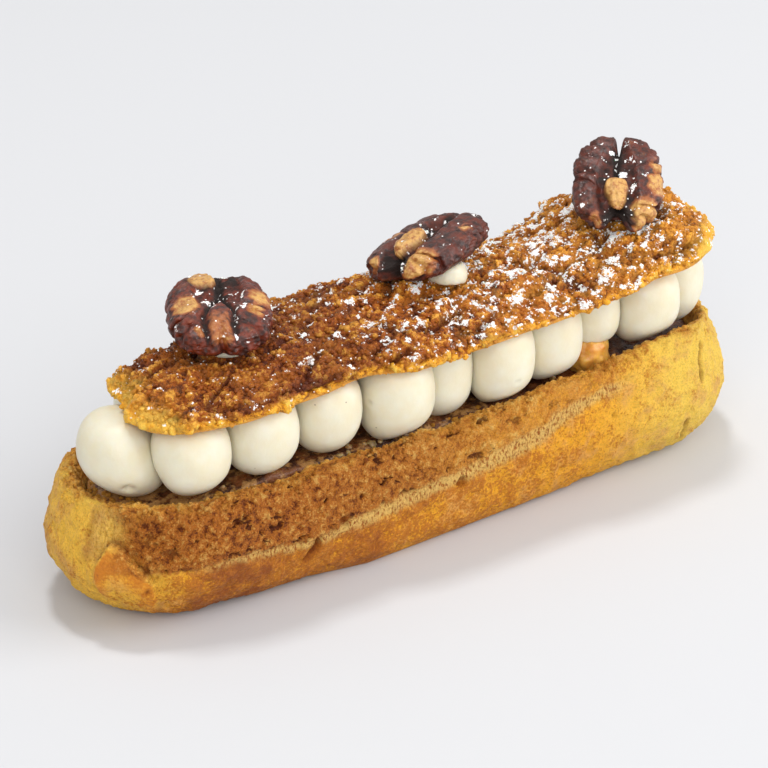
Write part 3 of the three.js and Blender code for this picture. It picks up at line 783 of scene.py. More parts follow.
def crackle_finish(crust, sugar):
    """The lid's crackled crust, with its golden torn edge and its dusting of sugar. Painted shade lies
    between crumbs, in fissures and beside the first nut; painted highlights lie on crumb tips.
    """
    material, tree, shader = new_material("crackled_crust", specular_ior_level=0.3)
    place = object_place(tree)
    rest = rest_place(tree)
    side, rind, nose = (attribute(tree, label) for label in ("side", "rind", "nose"))
    sizes = {
        "Rest": rest, "Crumb Size": crust.crumb_size, "Grain Size": crust.grain_size, "Contrast": 1.25,
    }
    level = shared(tree, crumb_level, sizes)["Level"]
    # Painted shade between the lid's crumbs and painted highlights on their tips, by crumb height
    crumb = crumb_colour(tree, level, crust.crackle_dark, crust.crackle_brown, crust.crackle_tip)
    amber = shared(tree, browning_blotches, {"Size": 9 * MM, "Start": 0.46, "End": 0.66})["Mask"]
    toned = blend(tree, product(tree, amber, 0.5), crumb, crust.crackle_amber)
    # Browning, with painted shade beside the first nut
    toned = blend(tree, product(tree, attribute(tree, "toast_and_shade"), 0.42), toned, crust.crackle_dark)
    # Painted highlight: higher crumbs towards the nose turn golden
    toned = blend(tree, product(tree, attribute(tree, "gold"), level), toned, crust.choux_gold)
    # Painted shade in the fissures between plates
    fissure = fissure_field(tree, rest, crust.plate_size)
    cracked = blend(tree, product(tree, fissure, 0.8), toned, crust.crackle_dark)
    golden = product(tree, side, remap(tree, noise(tree, place, 1.6 * MM, 3.0), 0.25, 0.55))
    # The golden frill, with painted shade between its crumbs and painted highlights on their tips
    frill = crumb_colour(tree, level, crust.crackle_brown, crust.choux_gold, crust.choux_pale)
    edged = blend(tree, product(tree, golden, 0.95), cracked, frill)
    mottle = remap(tree, noise(tree, place, 2.2 * MM, 4.0, 0.6), 0.35, 0.62)
    bare = blend(tree, mottle, crust.choux_gold, crust.choux_pale)
    plain = blend(tree, product(tree, nose, 0.85), edged, bare)
    inner = blend(tree, rind, crust.inner_crumb, plain)
    spread = remap(tree, noise(tree, place, 2.5 * MM, 4.0, 0.65, shift=0.2), 0.4, 0.65)
    film = product(tree, spread, remap(tree, attribute(tree, "dusted"), 0.8, 1.2, 0.0, 0.35))
    filmed = blend(tree, film, inner, crust.crackle_tip)
    dust = dust_mask(tree, sugar, level)
    tree.links.new(blend(tree, dust, filmed, sugar.white), shader.inputs["Base Color"])
    tree.links.new(calc(tree, "MULTIPLY_ADD", dust, 0.4, 0.4), shader.inputs["Roughness"])
    fine = total(tree, level, product(tree, noise(tree, place, 0.16 * MM), 0.3))
    bump(tree, shader, fine, 0.3 * MM)
    return material


def choux_skin(tree, crust, mottle, speck, rough_skin):
    """Colour of plain choux: gold to pale, with rosy patches, browned blotches and streaks, and freckles.
    Painted shade darkens the flank towards the left, painted light brightens what faces up, and a painted
    highlight runs along the flap's lip.
    """
    place = object_place(tree)
    gold, toast_and_shade, lip = (attribute(tree, label) for label in ("gold", "toast_and_shade", "lip"))
    wide = noise(tree, place, 8 * MM, 4.0, 0.6, shift=0.1)
    streak = upright_field(tree, rest_place(tree), crust.streak_size, 2.0)
    less_at_ends = calc(tree, "MULTIPLY_ADD", gold, -0.6, 1.0)
    browning = total(
        tree,
        toast_and_shade,
        product(tree, from_middle(tree, wide), 2.0),
        product(tree, from_middle(tree, mottle), 2.0, rough_skin),
    )
    fleck = total(
        tree,
        browning,
        product(tree, from_middle(tree, streak), 1.2, rough_skin),
        product(tree, from_middle(tree, speck), 5.0, rough_skin, less_at_ends),
    )
    # Golden ends, and painted light on what faces up
    skin = blend(tree, gold, crust.choux_gold, crust.choux_pale)
    rosy = remap(tree, noise(tree, place, 5 * MM, 4.0, 0.6, shift=0.6), 0.48, 0.66, 0.0, 0.6)
    skin = blend(tree, product(tree, rosy, rough_skin), skin, crust.choux_rosy)
    flank = blend(tree, remap(tree, fleck, -0.15, 0.8), skin, crust.choux_ochre)
    freckled = calc(tree, "MULTIPLY_ADD", from_middle(tree, speck), 1.8, browning)
    flank = blend(tree, remap(tree, freckled, 0.7, 1.6), flank, crust.choux_brown)
    # Painted highlight along the flap's lip
    return blend(tree, product(tree, lip, 0.7), flank, crust.choux_pale)


def choux_finish(crust):
    """The base's choux: golden ends, a browner flank with painted shade towards the left, a crumbly slab with
    pores and a pale torn band. Painted shade lies between crumbs, in pores and in splits; painted highlights
    lie on crumb tips.
    """
    material, tree, shader = new_material("baked_choux", specular_ior_level=0.25)
    place = object_place(tree)
    rest = rest_place(tree)
    labels = ("slab", "stretch", "cut", "porous", "split", "calm")
    slab, stretch, cut, porous, split, calm = (attribute(tree, label) for label in labels)
    sizes = {
        "Rest": rest, "Crumb Size": crust.slab_crumb_size, "Grain Size": crust.slab_grain_size,
        "Contrast": 0.9,
    }
    level = shared(tree, crumb_level, sizes)["Level"]
    mottle = noise(tree, place, 2.4 * MM, 5.0, 0.65, shift=0.8)
    speck = noise(tree, place, 0.6 * MM, 4.0, 0.75)
    rough_skin = calc(tree, "MULTIPLY_ADD", calm, -0.7, 1.0)

    skin = choux_skin(tree, crust, mottle, speck, rough_skin)
    # Painted shade between the slab's crumbs and painted highlights on their tips, on the crust and on the
    # cut crumb
    crumb = crumb_colour(tree, level, crust.slab_dark, crust.slab_brown, crust.slab_tip)
    crumb_face = crumb_colour(tree, level, crust.slab_brown, crust.inner_crumb, crust.crumb_pale)
    crumb = blend(tree, attribute(tree, "pale"), crumb, crumb_face)
    browned = blend(tree, slab, skin, crumb)
    thread = upright_field(tree, rest, crust.thread_size, 2.2)
    threads = blend(tree, remap(tree, thread, 0.36, 0.56), crust.choux_brown, crust.stretch_pale)
    torn = blend(tree, product(tree, stretch, 0.85), browned, threads)
    opened = blend(tree, cut, torn, crumb_face)
    # Painted shade inside the slab's pores
    pore = product(tree, pore_field(tree, rest, crust.pore_spacing), porous)
    pitted = blend(tree, product(tree, pore, 0.9), opened, crust.pore_dark)
    grain = noise(tree, place, 0.32 * MM, 3.0, 0.7, shift=0.5)
    grained = remap(tree, grain, 0.34, 0.56, 0.78, 1.0)
    pitted = blend(tree, rough_skin, pitted, blend(tree, 1.0, pitted, grained, "MULTIPLY"))
    # Painted shade in splits and burst bubbles, under the flap's lip and along the tear's edge
    tree.links.new(blend(tree, split, pitted, crust.crack_brown), shader.inputs["Base Color"])
    tree.links.new(remap(tree, speck, 0.3, 0.7, 0.42, 0.62), shader.inputs["Roughness"])
    crumbly = calc(tree, "MAXIMUM", slab, cut)
    fine = total(
        tree,
        product(tree, level, crumbly),
        product(tree, thread, stretch, 1.2),
        product(tree, speck, rough_skin, 1.9),
        product(tree, mottle, rough_skin, 1.2),
        product(tree, pore, -0.8),
    )
    bump(tree, shader, fine, 0.42 * MM)
    return material


def cream_finish(cream):
    """Ivory whipped cream with light passing through it and a few ground vanilla seeds."""
    material, tree, shader = new_material(
        "vanilla_cream", roughness=0.42, subsurface_weight=0.35, subsurface_radius=(1.0, 0.72, 0.36),
        subsurface_scale=2 * MM,
    )
    place = object_place(tree)
    mottle = remap(tree, noise(tree, place, 5 * MM, 3.0), 0.3, 0.7)
    ivory = blend(tree, mottle, cream.ivory, cream.warm)
    spread = cells(tree, stirred(tree, place, 2 * MM, 1 * MM), 2.6 * MM)
    draw = axis_of(tree, spread.outputs["Color"], 2)
    chosen = calc(tree, "GREATER_THAN", draw, 0.7)
    seed = product(tree, remap(tree, spread.outputs["Distance"], 0.075, 0.03), chosen)
    speckled = blend(tree, product(tree, seed, 0.75), ivory, cream.seed)
    tree.links.new(speckled, shader.inputs["Base Color"])
    bump(tree, shader, noise(tree, place, 0.7 * MM, 3.0, 0.6), 0.05 * MM)
    return material


def compote_finish(filling):
    """Dark cooked fruit in a wet gel, paler where the gel has run to the left end, with painted shade towards
    the right end.
    """
    material, tree, shader = new_material("fruit_compote", coat_weight=0.2, coat_roughness=0.12)
    place = object_place(tree)
    thick = shared(tree, browning_blotches, {"Size": 3.2 * MM, "Start": 0.42, "End": 0.62})["Mask"]
    pulp = blend(tree, thick, filling.dark, filling.brown)
    clear = noise(tree, place, 1.9 * MM, 5.0, 0.62, shift=0.1)
    # More gel towards the left end; painted shade towards the right end
    gel_and_shade = calc(tree, "MULTIPLY_ADD", attribute(tree, "gel_and_shade"), 0.15, clear)
    tree.links.new(blend(tree, remap(tree, gel_and_shade, 0.54, 0.68), pulp, filling.gel), shader.inputs["Base Color"])
    rough = remap(tree, noise(tree, place, 0.6 * MM, 3.0), 0.3, 0.7, 0.24, 0.5)
    tree.links.new(rough, shader.inputs["Roughness"])
    bump(tree, shader, noise(tree, place, 0.8 * MM, 4.0, 0.6), 0.5 * MM)
    return material


def fruit_finish(name, outer, inner):
    """Soft cooked fruit, clear enough for light to pass into it."""
    material, tree, shader = new_material(
        name, roughness=0.36, subsurface_weight=0.6, subsurface_radius=(1.0, 0.55, 0.16),
        subsurface_scale=2 * MM, coat_weight=0.15, coat_roughness=0.15,
    )
    place = object_place(tree)
    mottle = shared(tree, browning_blotches, {"Size": 2.2 * MM, "Start": 0.35, "End": 0.7})["Mask"]
    tree.links.new(blend(tree, mottle, outer, inner), shader.inputs["Base Color"])
    bump(tree, shader, noise(tree, place, 0.9 * MM, 3.0, 0.6), 0.2 * MM)
    return material


def nut_finish(nut, sugar):
    """Pecan skin: red-brown lobes with painted highlights on their ridges, painted shade that makes the
    valley and folds nearly black, tan flesh where the skin has rubbed off.
    """
    material, tree, shader = new_material("pecan_skin", coat_roughness=0.3)
    place = object_place(tree)
    labels = ("fold", "rubbed", "nub", "dark", "ridge")
    fold, rubbed, nub, dark, ridge = (attribute(tree, label) for label in labels)
    streak = noise(tree, place, 1.5 * MM, 4.0, 0.6)
    skin = blend(tree, remap(tree, streak, 0.35, 0.65), nut.skin_dark, nut.skin_red)
    skin = blend(tree, product(tree, dark, 0.6), skin, nut.skin_dark)
    # Painted highlight on the ridges of the wrinkles
    skin = blend(tree, remap(tree, ridge, 0.62, 0.95, 0.0, 0.3), skin, nut.flesh_brown)
    broken = calc(tree, "MULTIPLY_ADD", from_middle(tree, streak), 1.1, rubbed)
    mottle = remap(tree, noise(tree, place, 0.9 * MM, 4.0, 0.65), 0.4, 0.7)
    flesh = blend(tree, mottle, nut.flesh, nut.flesh_brown)
    worn = blend(tree, remap(tree, broken, 0.25, 0.6), skin, nut.flesh_brown)
    worn = blend(tree, remap(tree, broken, 0.55, 0.9), worn, flesh)
    tipped = blend(tree, nub, worn, flesh)
    # Painted shade in the valley, folds and open end
    deep = blend(tree, remap(tree, fold, 0.25, 0.85), tipped, nut.fold_dark)
    dust = dust_mask(tree, sugar, ridge)
    tree.links.new(blend(tree, dust, deep, sugar.white), shader.inputs["Base Color"])
    shine = remap(tree, noise(tree, place, 1.1 * MM, 3.0, shift=0.5), 0.3, 0.7, 0.34, 0.58)
    dull = calc(tree, "MAXIMUM", product(tree, dust, 0.85), remap(tree, fold, 0.0, 0.5, 0.0, 0.85))
    tree.links.new(calc(tree, "MAXIMUM", shine, dull), shader.inputs["Roughness"])
    tree.links.new(calc(tree, "MULTIPLY_ADD", fold, -0.1, 0.1), shader.inputs["Coat Weight"])
    fine = total(tree, streak, product(tree, noise(tree, place, 0.4 * MM, 3.0), 0.5))
    bump(tree, shader, fine, 0.25 * MM)
    return material


def sugar_finish(sugar):
    """Powdered sugar in small heaps."""
    material, tree, shader = new_material(
        "powdered_sugar", roughness=0.8, subsurface_weight=0.2, subsurface_scale=0.4 * MM
    )
    place = object_place(tree)
    heap = remap(tree, noise(tree, place, 0.5 * MM, 2.0), 0.3, 0.7)
    tree.links.new(blend(tree, heap, sugar.shade, sugar.white), shader.inputs["Base Color"])
    bump(tree, shader, noise(tree, place, 0.12 * MM, 2.0), 0.06 * MM)
    return material


def floor_finish(stage):
    """A matt pale table top."""
    material, tree, shader = new_material("pale_table", roughness=0.9, specular_ior_level=0.1)
    place = object_place(tree)
    cloud = remap(tree, noise(tree, place, 0.4, 2.0), 0.3, 0.7)
    dimmed = blend(tree, product(tree, cloud, 0.03), stage.floor, stage.floor_dim)
    tree.links.new(dimmed, shader.inputs["Base Color"])
    return material


# Settings


class ECLAIR_PG_crust(bpy.types.PropertyGroup):
    """Sizes and colours of the baked crusts"""

    lid_mesh: length("Lid Mesh", "Edge length of the lid's mesh", 0.34)
    base_mesh: length("Base Mesh", "Edge length of the base's mesh", 0.48)
    plate_size: length("Plate Size", "Width of the plates that the lid's crust cracks into", 7.0)
    fissure_depth: length("Fissure Depth", "Depth of the cracks between plates", 1.0)
    ledge_height: length("Ledge Height", "How far one sheet of the lid's crust stands over the next", 0.95)
    crumb_size: length("Crumb Size", "Width of a crumb in the lid's crust", 1.7)
    grain_size: length("Grain Size", "Width of the grains that crumbs are made of", 0.7)
    crumb_height: length("Crumb Height", "How far a crumb stands up", 1.5)
    slab_crumb_size: length("Slab Crumb Size", "Width of a crumb in the base's slab", 1.2)
    slab_grain_size: length("Slab Grain Size", "Width of the grains in the base's slab", 0.65)
    pore_spacing: length("Pore Spacing", "Distance between pores in the base's slab", 1.8)
    thread_size: length("Thread Size", "Width of a thread in the torn band", 0.38)
    streak_size: length("Streak Size", "Width of a browned streak on the base's walls", 1.7)
    # Painted shade between the lid's crumbs, in its fissures and in its darker browned part
    crackle_dark: colour("Crackle Dark", "Colour between the lid's crumbs", 82, 29, 4)
    crackle_brown: colour("Crackle Brown", "Colour of the lid's crumbs", 166, 84, 10)
    # Painted highlight on the lid's crumb tips
    crackle_tip: colour("Crackle Tip", "Colour of the crumbs' tips", 246, 178, 70)
    crackle_amber: colour("Crackle Amber", "Colour of the lid's lighter patches", 206, 124, 32)
    choux_pale: colour("Choux Pale", "Colour of the palest choux", 255, 212, 88)
    choux_gold: colour("Choux Gold", "Colour of golden choux", 250, 176, 40)
    choux_ochre: colour("Choux Ochre", "Colour of the base's flank", 202, 122, 30)
    choux_brown: colour("Choux Brown", "Colour of browned blotches", 160, 86, 28)
    choux_rosy: colour("Choux Rosy", "Colour of rosy patches on golden choux", 228, 164, 96)
    # Painted shade between the slab's crumbs
    slab_dark: colour("Slab Dark", "Colour between the slab's crumbs", 108, 45, 8)
    slab_brown: colour("Slab Brown", "Colour of the slab's crumbs", 188, 108, 30)
    # Painted highlight on the slab's highest crumbs
    slab_tip: colour("Slab Tip", "Colour of the slab's highest crumbs", 232, 172, 86)
    stretch_pale: colour("Stretch Pale", "Colour of the torn band's threads", 240, 198, 112)
    # Painted shade inside a pore
    pore_dark: colour("Pore Dark", "Colour inside a pore", 92, 34, 8)
    # Painted shade inside splits and bubbles, under the flap's lip and along the tear's edge
    crack_brown: colour("Crack Brown", "Colour inside a split", 122, 52, 8)
    inner_crumb: colour("Inner Crumb", "Colour of the cut choux inside", 228, 160, 62)
    # Painted highlight on the highest crumbs of the cut choux
    crumb_pale: colour("Crumb Pale", "Colour of the cut choux's highest crumbs", 248, 206, 116)


class ECLAIR_PG_cream(bpy.types.PropertyGroup):
    """Sizes and colours of the piped cream"""

    swell: length("Swell", "How far the cream swells to meet its neighbours", 0.5)
    unevenness: length("Unevenness", "How uneven the cream's surface is", 0.5)
    bubble_depth: length("Bubble Depth", "Depth of a burst bubble", 0.5)
    ivory: colour("Ivory", "Main colour of the cream", 222, 218, 198)
    warm: colour("Warm", "Colour of its warmer patches", 219, 210, 182)
    seed: colour("Seed", "Colour of a vanilla seed", 96, 78, 56)


class ECLAIR_PG_filling(bpy.types.PropertyGroup):
    """Colours of the compote and its fruit"""

    dark: colour("Dark", "Darkest colour of the compote", 66, 31, 17)
    brown: colour("Brown", "Middle colour of the compote", 134, 78, 40)
    gel: colour("Gel", "Colour of its clear gel", 192, 142, 84)
    bit: colour("Bit", "Colour of its soft bits", 206, 172, 120)
    bit_brown: colour("Bit Brown", "Colour of its browner bits", 150, 98, 50)
    fruit: colour("Fruit", "Colour of the cube of fruit", 230, 178, 84)
    fruit_deep: colour("Fruit Deep", "Deeper colour of the cube of fruit", 204, 134, 48)


class ECLAIR_PG_nut(bpy.types.PropertyGroup):
    """Fineness and colours of the pecan halves"""

    detail: IntProperty(
        name="Detail", description="How often the nut's mesh is divided", default=7, min=4, max=8
    )
    skin_red: colour("Skin Red", "Colour of the nut's lobes", 118, 42, 15)
    skin_dark: colour("Skin Dark", "Colour of its darker skin", 46, 17, 11)
    # Painted shade in the valley and folds
    fold_dark: colour("Fold Dark", "Colour in the valley and folds", 30, 16, 11)
    flesh: colour("Flesh", "Colour where the skin has rubbed off", 204, 157, 86)
    flesh_brown: colour("Flesh Brown", "Browner colour of bare flesh", 156, 88, 40)


class ECLAIR_PG_sugar(bpy.types.PropertyGroup):
    """Sizes and colours of the powdered sugar"""

    patch_size: length("Patch Size", "Size of the patches that sugar falls in", 2.5)
    patch_least: share("Patch Least", "Noise level above which sugar lies", 0.565)
    grain_small: length("Smallest Heap", "Width of the smallest heap of sugar", 0.28)
    grain_large: length("Largest Heap", "Width of the largest heap of sugar", 0.62)
    white: colour("White", "Colour of sugar", 255, 254, 252)
    shade: colour("Shade", "Colour between grains of sugar", 246, 244, 242)


class ECLAIR_PG_stage(bpy.types.PropertyGroup):
    """Table, light and camera"""

    floor: colour("Floor", "Colour of the table", 203, 204, 207)
    floor_dim: colour("Floor Dim", "Colour of its dimmer clouds", 199, 200, 203)
    sky: share("Sky", "Strength of the even light all round", 0.6)
    lens: FloatProperty(name="Lens", description="Focal length", default=154.03, subtype="DISTANCE_CAMERA")
    distance: length("Distance", "From the camera to what it looks at", 587.0)


# Marks worked out for each point of a crust, and the given forms of the base


def around_base(points):
    """For points in mm: the way out from the base's spine, and the angle round its left end in degrees."""
    spine = np.clip(points[:, 0], -SPINE_END, SPINE_END)
    out = points[:, :2] - np.stack([spine, np.zeros(len(points))], axis=1)
    out /= np.maximum(np.linalg.norm(out, axis=1), 1e-6)[:, None]
    angle = np.degrees(np.arctan2(points[:, 1], points[:, 0] + SPINE_END)) % 360
    return out, angle


def left_end_forms(x, z, angle, wobble, outside):
    """The flap lifted on the left end, the bands over and under its lip, painted as a highlight and as its
    shadow, and a torn strip and its edge, painted as a line of shade.
    """
    lip = read_off(FLAP_LIP, angle) + 0.3 * wobble
    on_flap = smooth(204, 208, angle) * smooth(238, 235, angle) * (x < -SPINE_END)
    flap = on_flap * smooth(lip + 0.25, lip - 0.25, z) * smooth(lip - 12, lip - 1, z)
    # The band over the lip, painted as a highlight
    painted_lip_highlight = on_flap * np.exp(-(((z - lip + 0.35) / 0.35) ** 2))
    # The band under the lip, sunk a little and painted as its shadow
    under_lip = on_flap * np.exp(-(((z - lip - 0.5) / 0.4) ** 2))
    past_edge = angle - TEAR_EDGE - 1.5 * wobble
    beside = smooth(12.5, 14, z) * smooth(23.5, 21.5, z) * (x < -SPINE_END) * outside
    across_tear = smooth(-1, 1, past_edge) * smooth(24, 14, past_edge)
    tear = across_tear * smooth(lip - 0.3, lip + 0.4, z) * beside
    # The tear's edge, painted as a thin line of shade
    tear_edge = np.exp(-((past_edge / 1.6) ** 2)) * beside
    return flap, painted_lip_highlight, under_lip, tear, tear_edge


def openings(spot, wobble):
    """How far each point lies in a split, how deep it sinks there in mm, and how far it lies in a bubble."""
    split = np.zeros(len(spot))
    sunk = np.zeros(len(spot))
    for wide, deep, line in CRACKS:
        opening = np.exp(-((distance_to_line(spot + 0.3 * wobble[:, None], line) / wide) ** 2))
        split = np.maximum(split, opening)
        sunk = np.maximum(sunk, deep * opening)
    bubble = np.zeros(len(spot))
    for middle, radius in PITS:
        bubble = np.maximum(bubble, smooth(1.15, 0.5, np.linalg.norm(spot - middle, axis=1) / radius))
    return split, sunk, bubble


def shape_base(mesh):
    """Adds the flap, splits, burst bubbles and torn band to the base, and marks where each finish goes."""
    spot = points_of(mesh) / MM
    normal = normals_of(mesh)
    out, angle = around_base(spot)
    x, y, z = spot.T
    outside = smooth(0.1, 0.4, np.sum(normal[:, :2] * out, axis=1))
    wobble = 0.5 * lumps(spot, 2.2, 1) + 0.3 * lumps(spot, 0.9, 2)

    edge = read_off(SLAB_EDGE, x) + wobble
    width = read_off(STRETCH_WIDTH, x)
    corner = 0.86 - 0.012 * z
    front = smooth(corner - 0.17, corner + 0.12, -out[:, 1] + 0.12 * lumps(spot, 3.4, 7) + 0.1 * wobble)
    fading = smooth(46, 24, x + 3 * wobble)
    slab = smooth(edge - 0.25, edge + 0.35, z) * front * fading * outside
    band = smooth(edge - width - 1, edge - width + 0.5, z) * smooth(edge + 0.7, edge - 0.5, z)
    stretch = band * front * outside * smooth(-62, -45, x) * smooth(42, 33, x)

    flap, painted_lip_highlight, under_lip, tear, tear_edge = left_end_forms(x, z, angle, wobble, outside)
    split, sunk, bubble = openings(spot, wobble)
    facing = out @ np.array(TO_CAMERA)
    near_foot = smooth(0.1, 1.2, z) * smooth(9, 3.5, z)
    bulge = read_off(FOOT_BULGE, x) * smooth(0.2, 0.6, facing) * near_foot
    height = 1.1 * flap - 0.4 * under_lip - sunk - 1.1 * bubble - 0.2 * stretch + 0.1 * slab - 0.6 * tear
    moved = spot + normal * (height * outside + bulge)[:, None]
    moved[:, 2] = np.maximum(moved[:, 2], 0)
    put_points(mesh, moved * MM)

    inside = smooth(0.1, -0.2, np.sum(normal[:, :2] * out, axis=1)) * smooth(15, 17, z)
    rim = smooth(0.35, 0.8, normal[:, 2]) * smooth(17, 19, z)
    broken = 0.15 + 0.7 * smooth(-0.3, 0.5, lumps(spot, 2.2, 9))
    slab_top = rim * smooth(34, 14, x) * smooth(-62, -52, x) * (y < 0)
    ends = np.maximum(0.55 * smooth(-56, -64, x), smooth(26, 52, x))
    crowded = smooth(26, -8, x) * smooth(-66, -50, x)
    put_attribute(mesh, "slab", np.maximum(slab, 0.85 * slab_top) * (0.5 + 0.5 * smooth(32, -18, x)))
    put_attribute(mesh, "stretch", np.maximum(stretch, 0.45 * tear))
    put_attribute(mesh, "cut", np.maximum(inside, broken * rim))
    put_attribute(mesh, "rim", rim)
    # Painted shade: dark in splits and burst bubbles, in a line under the flap's lip, and along the tear's
    # edge
    put_attribute(mesh, "split", np.maximum.reduce([split, 0.5 * bubble, 0.4 * under_lip, 0.35 * tear_edge]))
    # Painted highlight along the flap's lip
    put_attribute(mesh, "lip", painted_lip_highlight)
    put_attribute(mesh, "calm", flap)
    # Golden ends, plus painted light on what faces up
    put_attribute(mesh, "gold", np.clip(ends + 0.3 * smooth(0.2, 0.9, normal[:, 2]) - 0.5 * flap, 0, 1))
    # Browning, with painted shade on the flank towards the left
    put_attribute(mesh, "toast_and_shade", read_off(TOAST_AND_SHADE, x) + 0.8 * flap)
    put_attribute(mesh, "pale", read_off(SLAB_PALE, x))
    put_attribute(mesh, "porous", slab * (0.35 + 0.65 * crowded))


def mark_lid(mesh):
    """Marks the lid's bare ends, its browner parts, which carry painted shade beside the first nut, its more
    golden parts, and how thickly sugar lies along it.
    """
    spot = points_of(mesh) / MM
    x, _, z = spot.T
    uneven = 1.2 * lumps(spot, 3, 5)
    nose = smooth(50, 58, x + uneven) * smooth(46, 43, z + uneven)
    torn = smooth(-50, -58, x + uneven) * smooth(41, 38, z + uneven)
    # Browning, with painted shade beside the first nut
    put_attribute(mesh, "toast_and_shade", read_off(LID_TOAST_AND_SHADE, x))
    put_attribute(mesh, "gold", read_off(LID_GOLD, x))
    put_attribute(mesh, "nose", np.maximum(nose, 0.7 * torn))
    put_attribute(mesh, "dusted", read_off(LID_SUGAR, x))


def frame_of_nut(node, turns):
    """How a pecan half is turned, and the middle and half sizes of its solid in its own frame."""
    angles = [math.radians(turns[label]) for label in ("roll", "tip", "turn")]
    rotation = np.array(Euler(angles, "XYZ").to_matrix())
    local = points_of(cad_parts[node].data) @ rotation
    low, high = local.min(0), local.max(0)
    return rotation, (low + high) / 2, (high - low) / 2


def nut_nub(nut, u, across, top, coarse):
    """The nub in a pecan half's valley or beside it: its rounded top, and where it lies."""
    start, end, offset, nub_half, _ = nut["nub"]
    along = np.clip((u - start) / (end - start), 0, 1)
    nub_width = nub_half * along**0.8 * np.sqrt(1 - along**4) + 0.001
    dome = top * np.clip(1 - ((across - offset) / nub_width + 0.08 * coarse) ** 2, 0, 1)
    dome *= smooth(0, 0.08, along) * smooth(1, 0.9, along)
    return dome, smooth(0, 0.4, dome)


def nut_grooves(u, across, middling, seed):
    """The slanted folds across both lobes of a pecan half: 1 in the deepest."""
    out = np.abs(across)
    side = np.sign(across)
    grooves = np.zeros(len(u))
    for fold, hand in itertools.product(range(NUT_FOLDS), (-1, 1)):
        middle = -0.84 + 0.27 * fold + 0.07 * math.sin(5.1 * fold + 2.3 * hand + seed)
        line = u - middle - 0.35 * (out - 0.5) - 0.06 * np.sin(6 * out + fold + hand) - 0.04 * middling
        width = 0.045 + 0.015 * math.sin(3.7 * fold + hand + seed)
        depth = 0.55 + 0.45 * math.sin(4.3 * fold - hand + seed)
        grooves = np.maximum(grooves, (side == hand) * depth * np.exp(-((line / width) ** 2)))
    return grooves


def nut_bare(nut, u, v, coarse, middling):
    """How far the skin has rubbed off in a pecan half's bare patches."""
    bare = np.zeros(len(u))
    for lengthwise, crosswise, size, strength in nut["bare"]:
        apart = np.hypot(u - lengthwise, v - crosswise) + 0.07 * coarse + 0.04 * middling
        bare = np.maximum(bare, strength * smooth(1.35 * size, 0.3 * size, apart))
    return bare


def nut_form(way, nut):
    """A pecan half over a ball of directions, in shares of its half sizes, and its marks.

    X runs to the notched end and Z out of the inner face. Two rolled lobes lie beside a sunk valley, slanted
    folds cross each lobe, and a nub stands in the valley or beside it.
    """
    seed = nut["seed"]
    power = 2.6
    reach = np.sum(np.abs(way) ** power, axis=1) ** (-1 / power)
    u, v, w = (way * reach[:, None]).T
    place = np.stack([u, v, w], axis=1) * NUT_HALF
    coarse, middling, fine = (lumps(place, size, seed + i) for i, size in enumerate((3, 1.4, 0.6)))
    top = smooth(-0.2, 0.35, w)
    across = v - top * (0.05 * np.sin(2.4 * u + seed) + 0.03 * middling)
    out = np.abs(across)
    dome, nub = nut_nub(nut, u, across, top, coarse)

    forked = nut["wedge"] * smooth(-0.25, 0.5, u + 0.08 * coarse)
    wedge = top * forked * smooth(0.3, 0.14, out)
    half_floor = nut["floor"] * smooth(1.15, -0.1, u) + 0.05 * coarse
    floor = top * smooth(half_floor + 0.14, half_floor - 0.06, out) * (1 - forked) * (1 - nub)
    slit = np.abs(out - 0.28 * forked)
    slit_width = 0.075 + 0.03 * coarse
    valley = top * np.exp(-((slit / slit_width) ** 2)) * smooth(-1.05, -0.85, u) * (1 - nub)
    open_end = nut["open"] * np.exp(-((across / 0.2) ** 2)) * smooth(-0.55, -0.95, u)

    grooves = nut_grooves(u, across, middling, seed)
    grooves *= smooth(half_floor - 0.05, half_floor + 0.2, out) * smooth(-0.9, -0.2, w)

    wrinkle = 0.4 * coarse + 0.4 * middling + 0.32 * fine
    shrink = 1 - 0.13 * grooves + 0.06 * wrinkle
    notch = nut["notch"] * np.exp(-((across / 0.07) ** 2)) * smooth(0.5, 0.9, u)
    x = u * shrink - notch + 0.34 * open_end * (1 - 0.6 * nub)
    y = v * shrink
    z = w * shrink * (1 - 0.4 * floor - 0.3 * valley - 0.25 * open_end)
    z += nut["nub"][-1] * np.sqrt(dome) * (1 + 0.2 * middling + 0.2 * fine) + 0.12 * wedge
    z += floor * (0.1 * coarse + 0.12 * middling + 0.06 * fine)

    bare = np.maximum(nut_bare(nut, u, v, coarse, middling), 0.6 * wedge * smooth(0.25, 0.7, u))
    sunk = np.clip(floor + valley + 0.6 * grooves, 0, 1)
    dark_floor = (0.55 + 0.3 * middling) * floor
    marks = {
        # Painted shade where the surface sinks: valley, folds and open end
        "fold": np.clip(dark_floor + 0.7 * valley + 0.5 * grooves + open_end - nub, 0, 1),
        "rubbed": np.clip(bare + 0.12 * smooth(0.6, 0.95, out) - 0.3 * grooves, 0, 1) * smooth(-0.6, 0, w),
        "nub": nub,
        # Higher on raised wrinkles and lower in folds: a painted highlight on the skin, and where sugar
        # gathers
        "ridge": np.clip(0.5 + 0.6 * wrinkle - 0.6 * grooves, 0, 1),
        "dusted": 0.1 + 0.7 * np.clip(sunk - nub, 0, 1),
    }
    return np.stack([x, y, z], axis=1), marks


# Operators


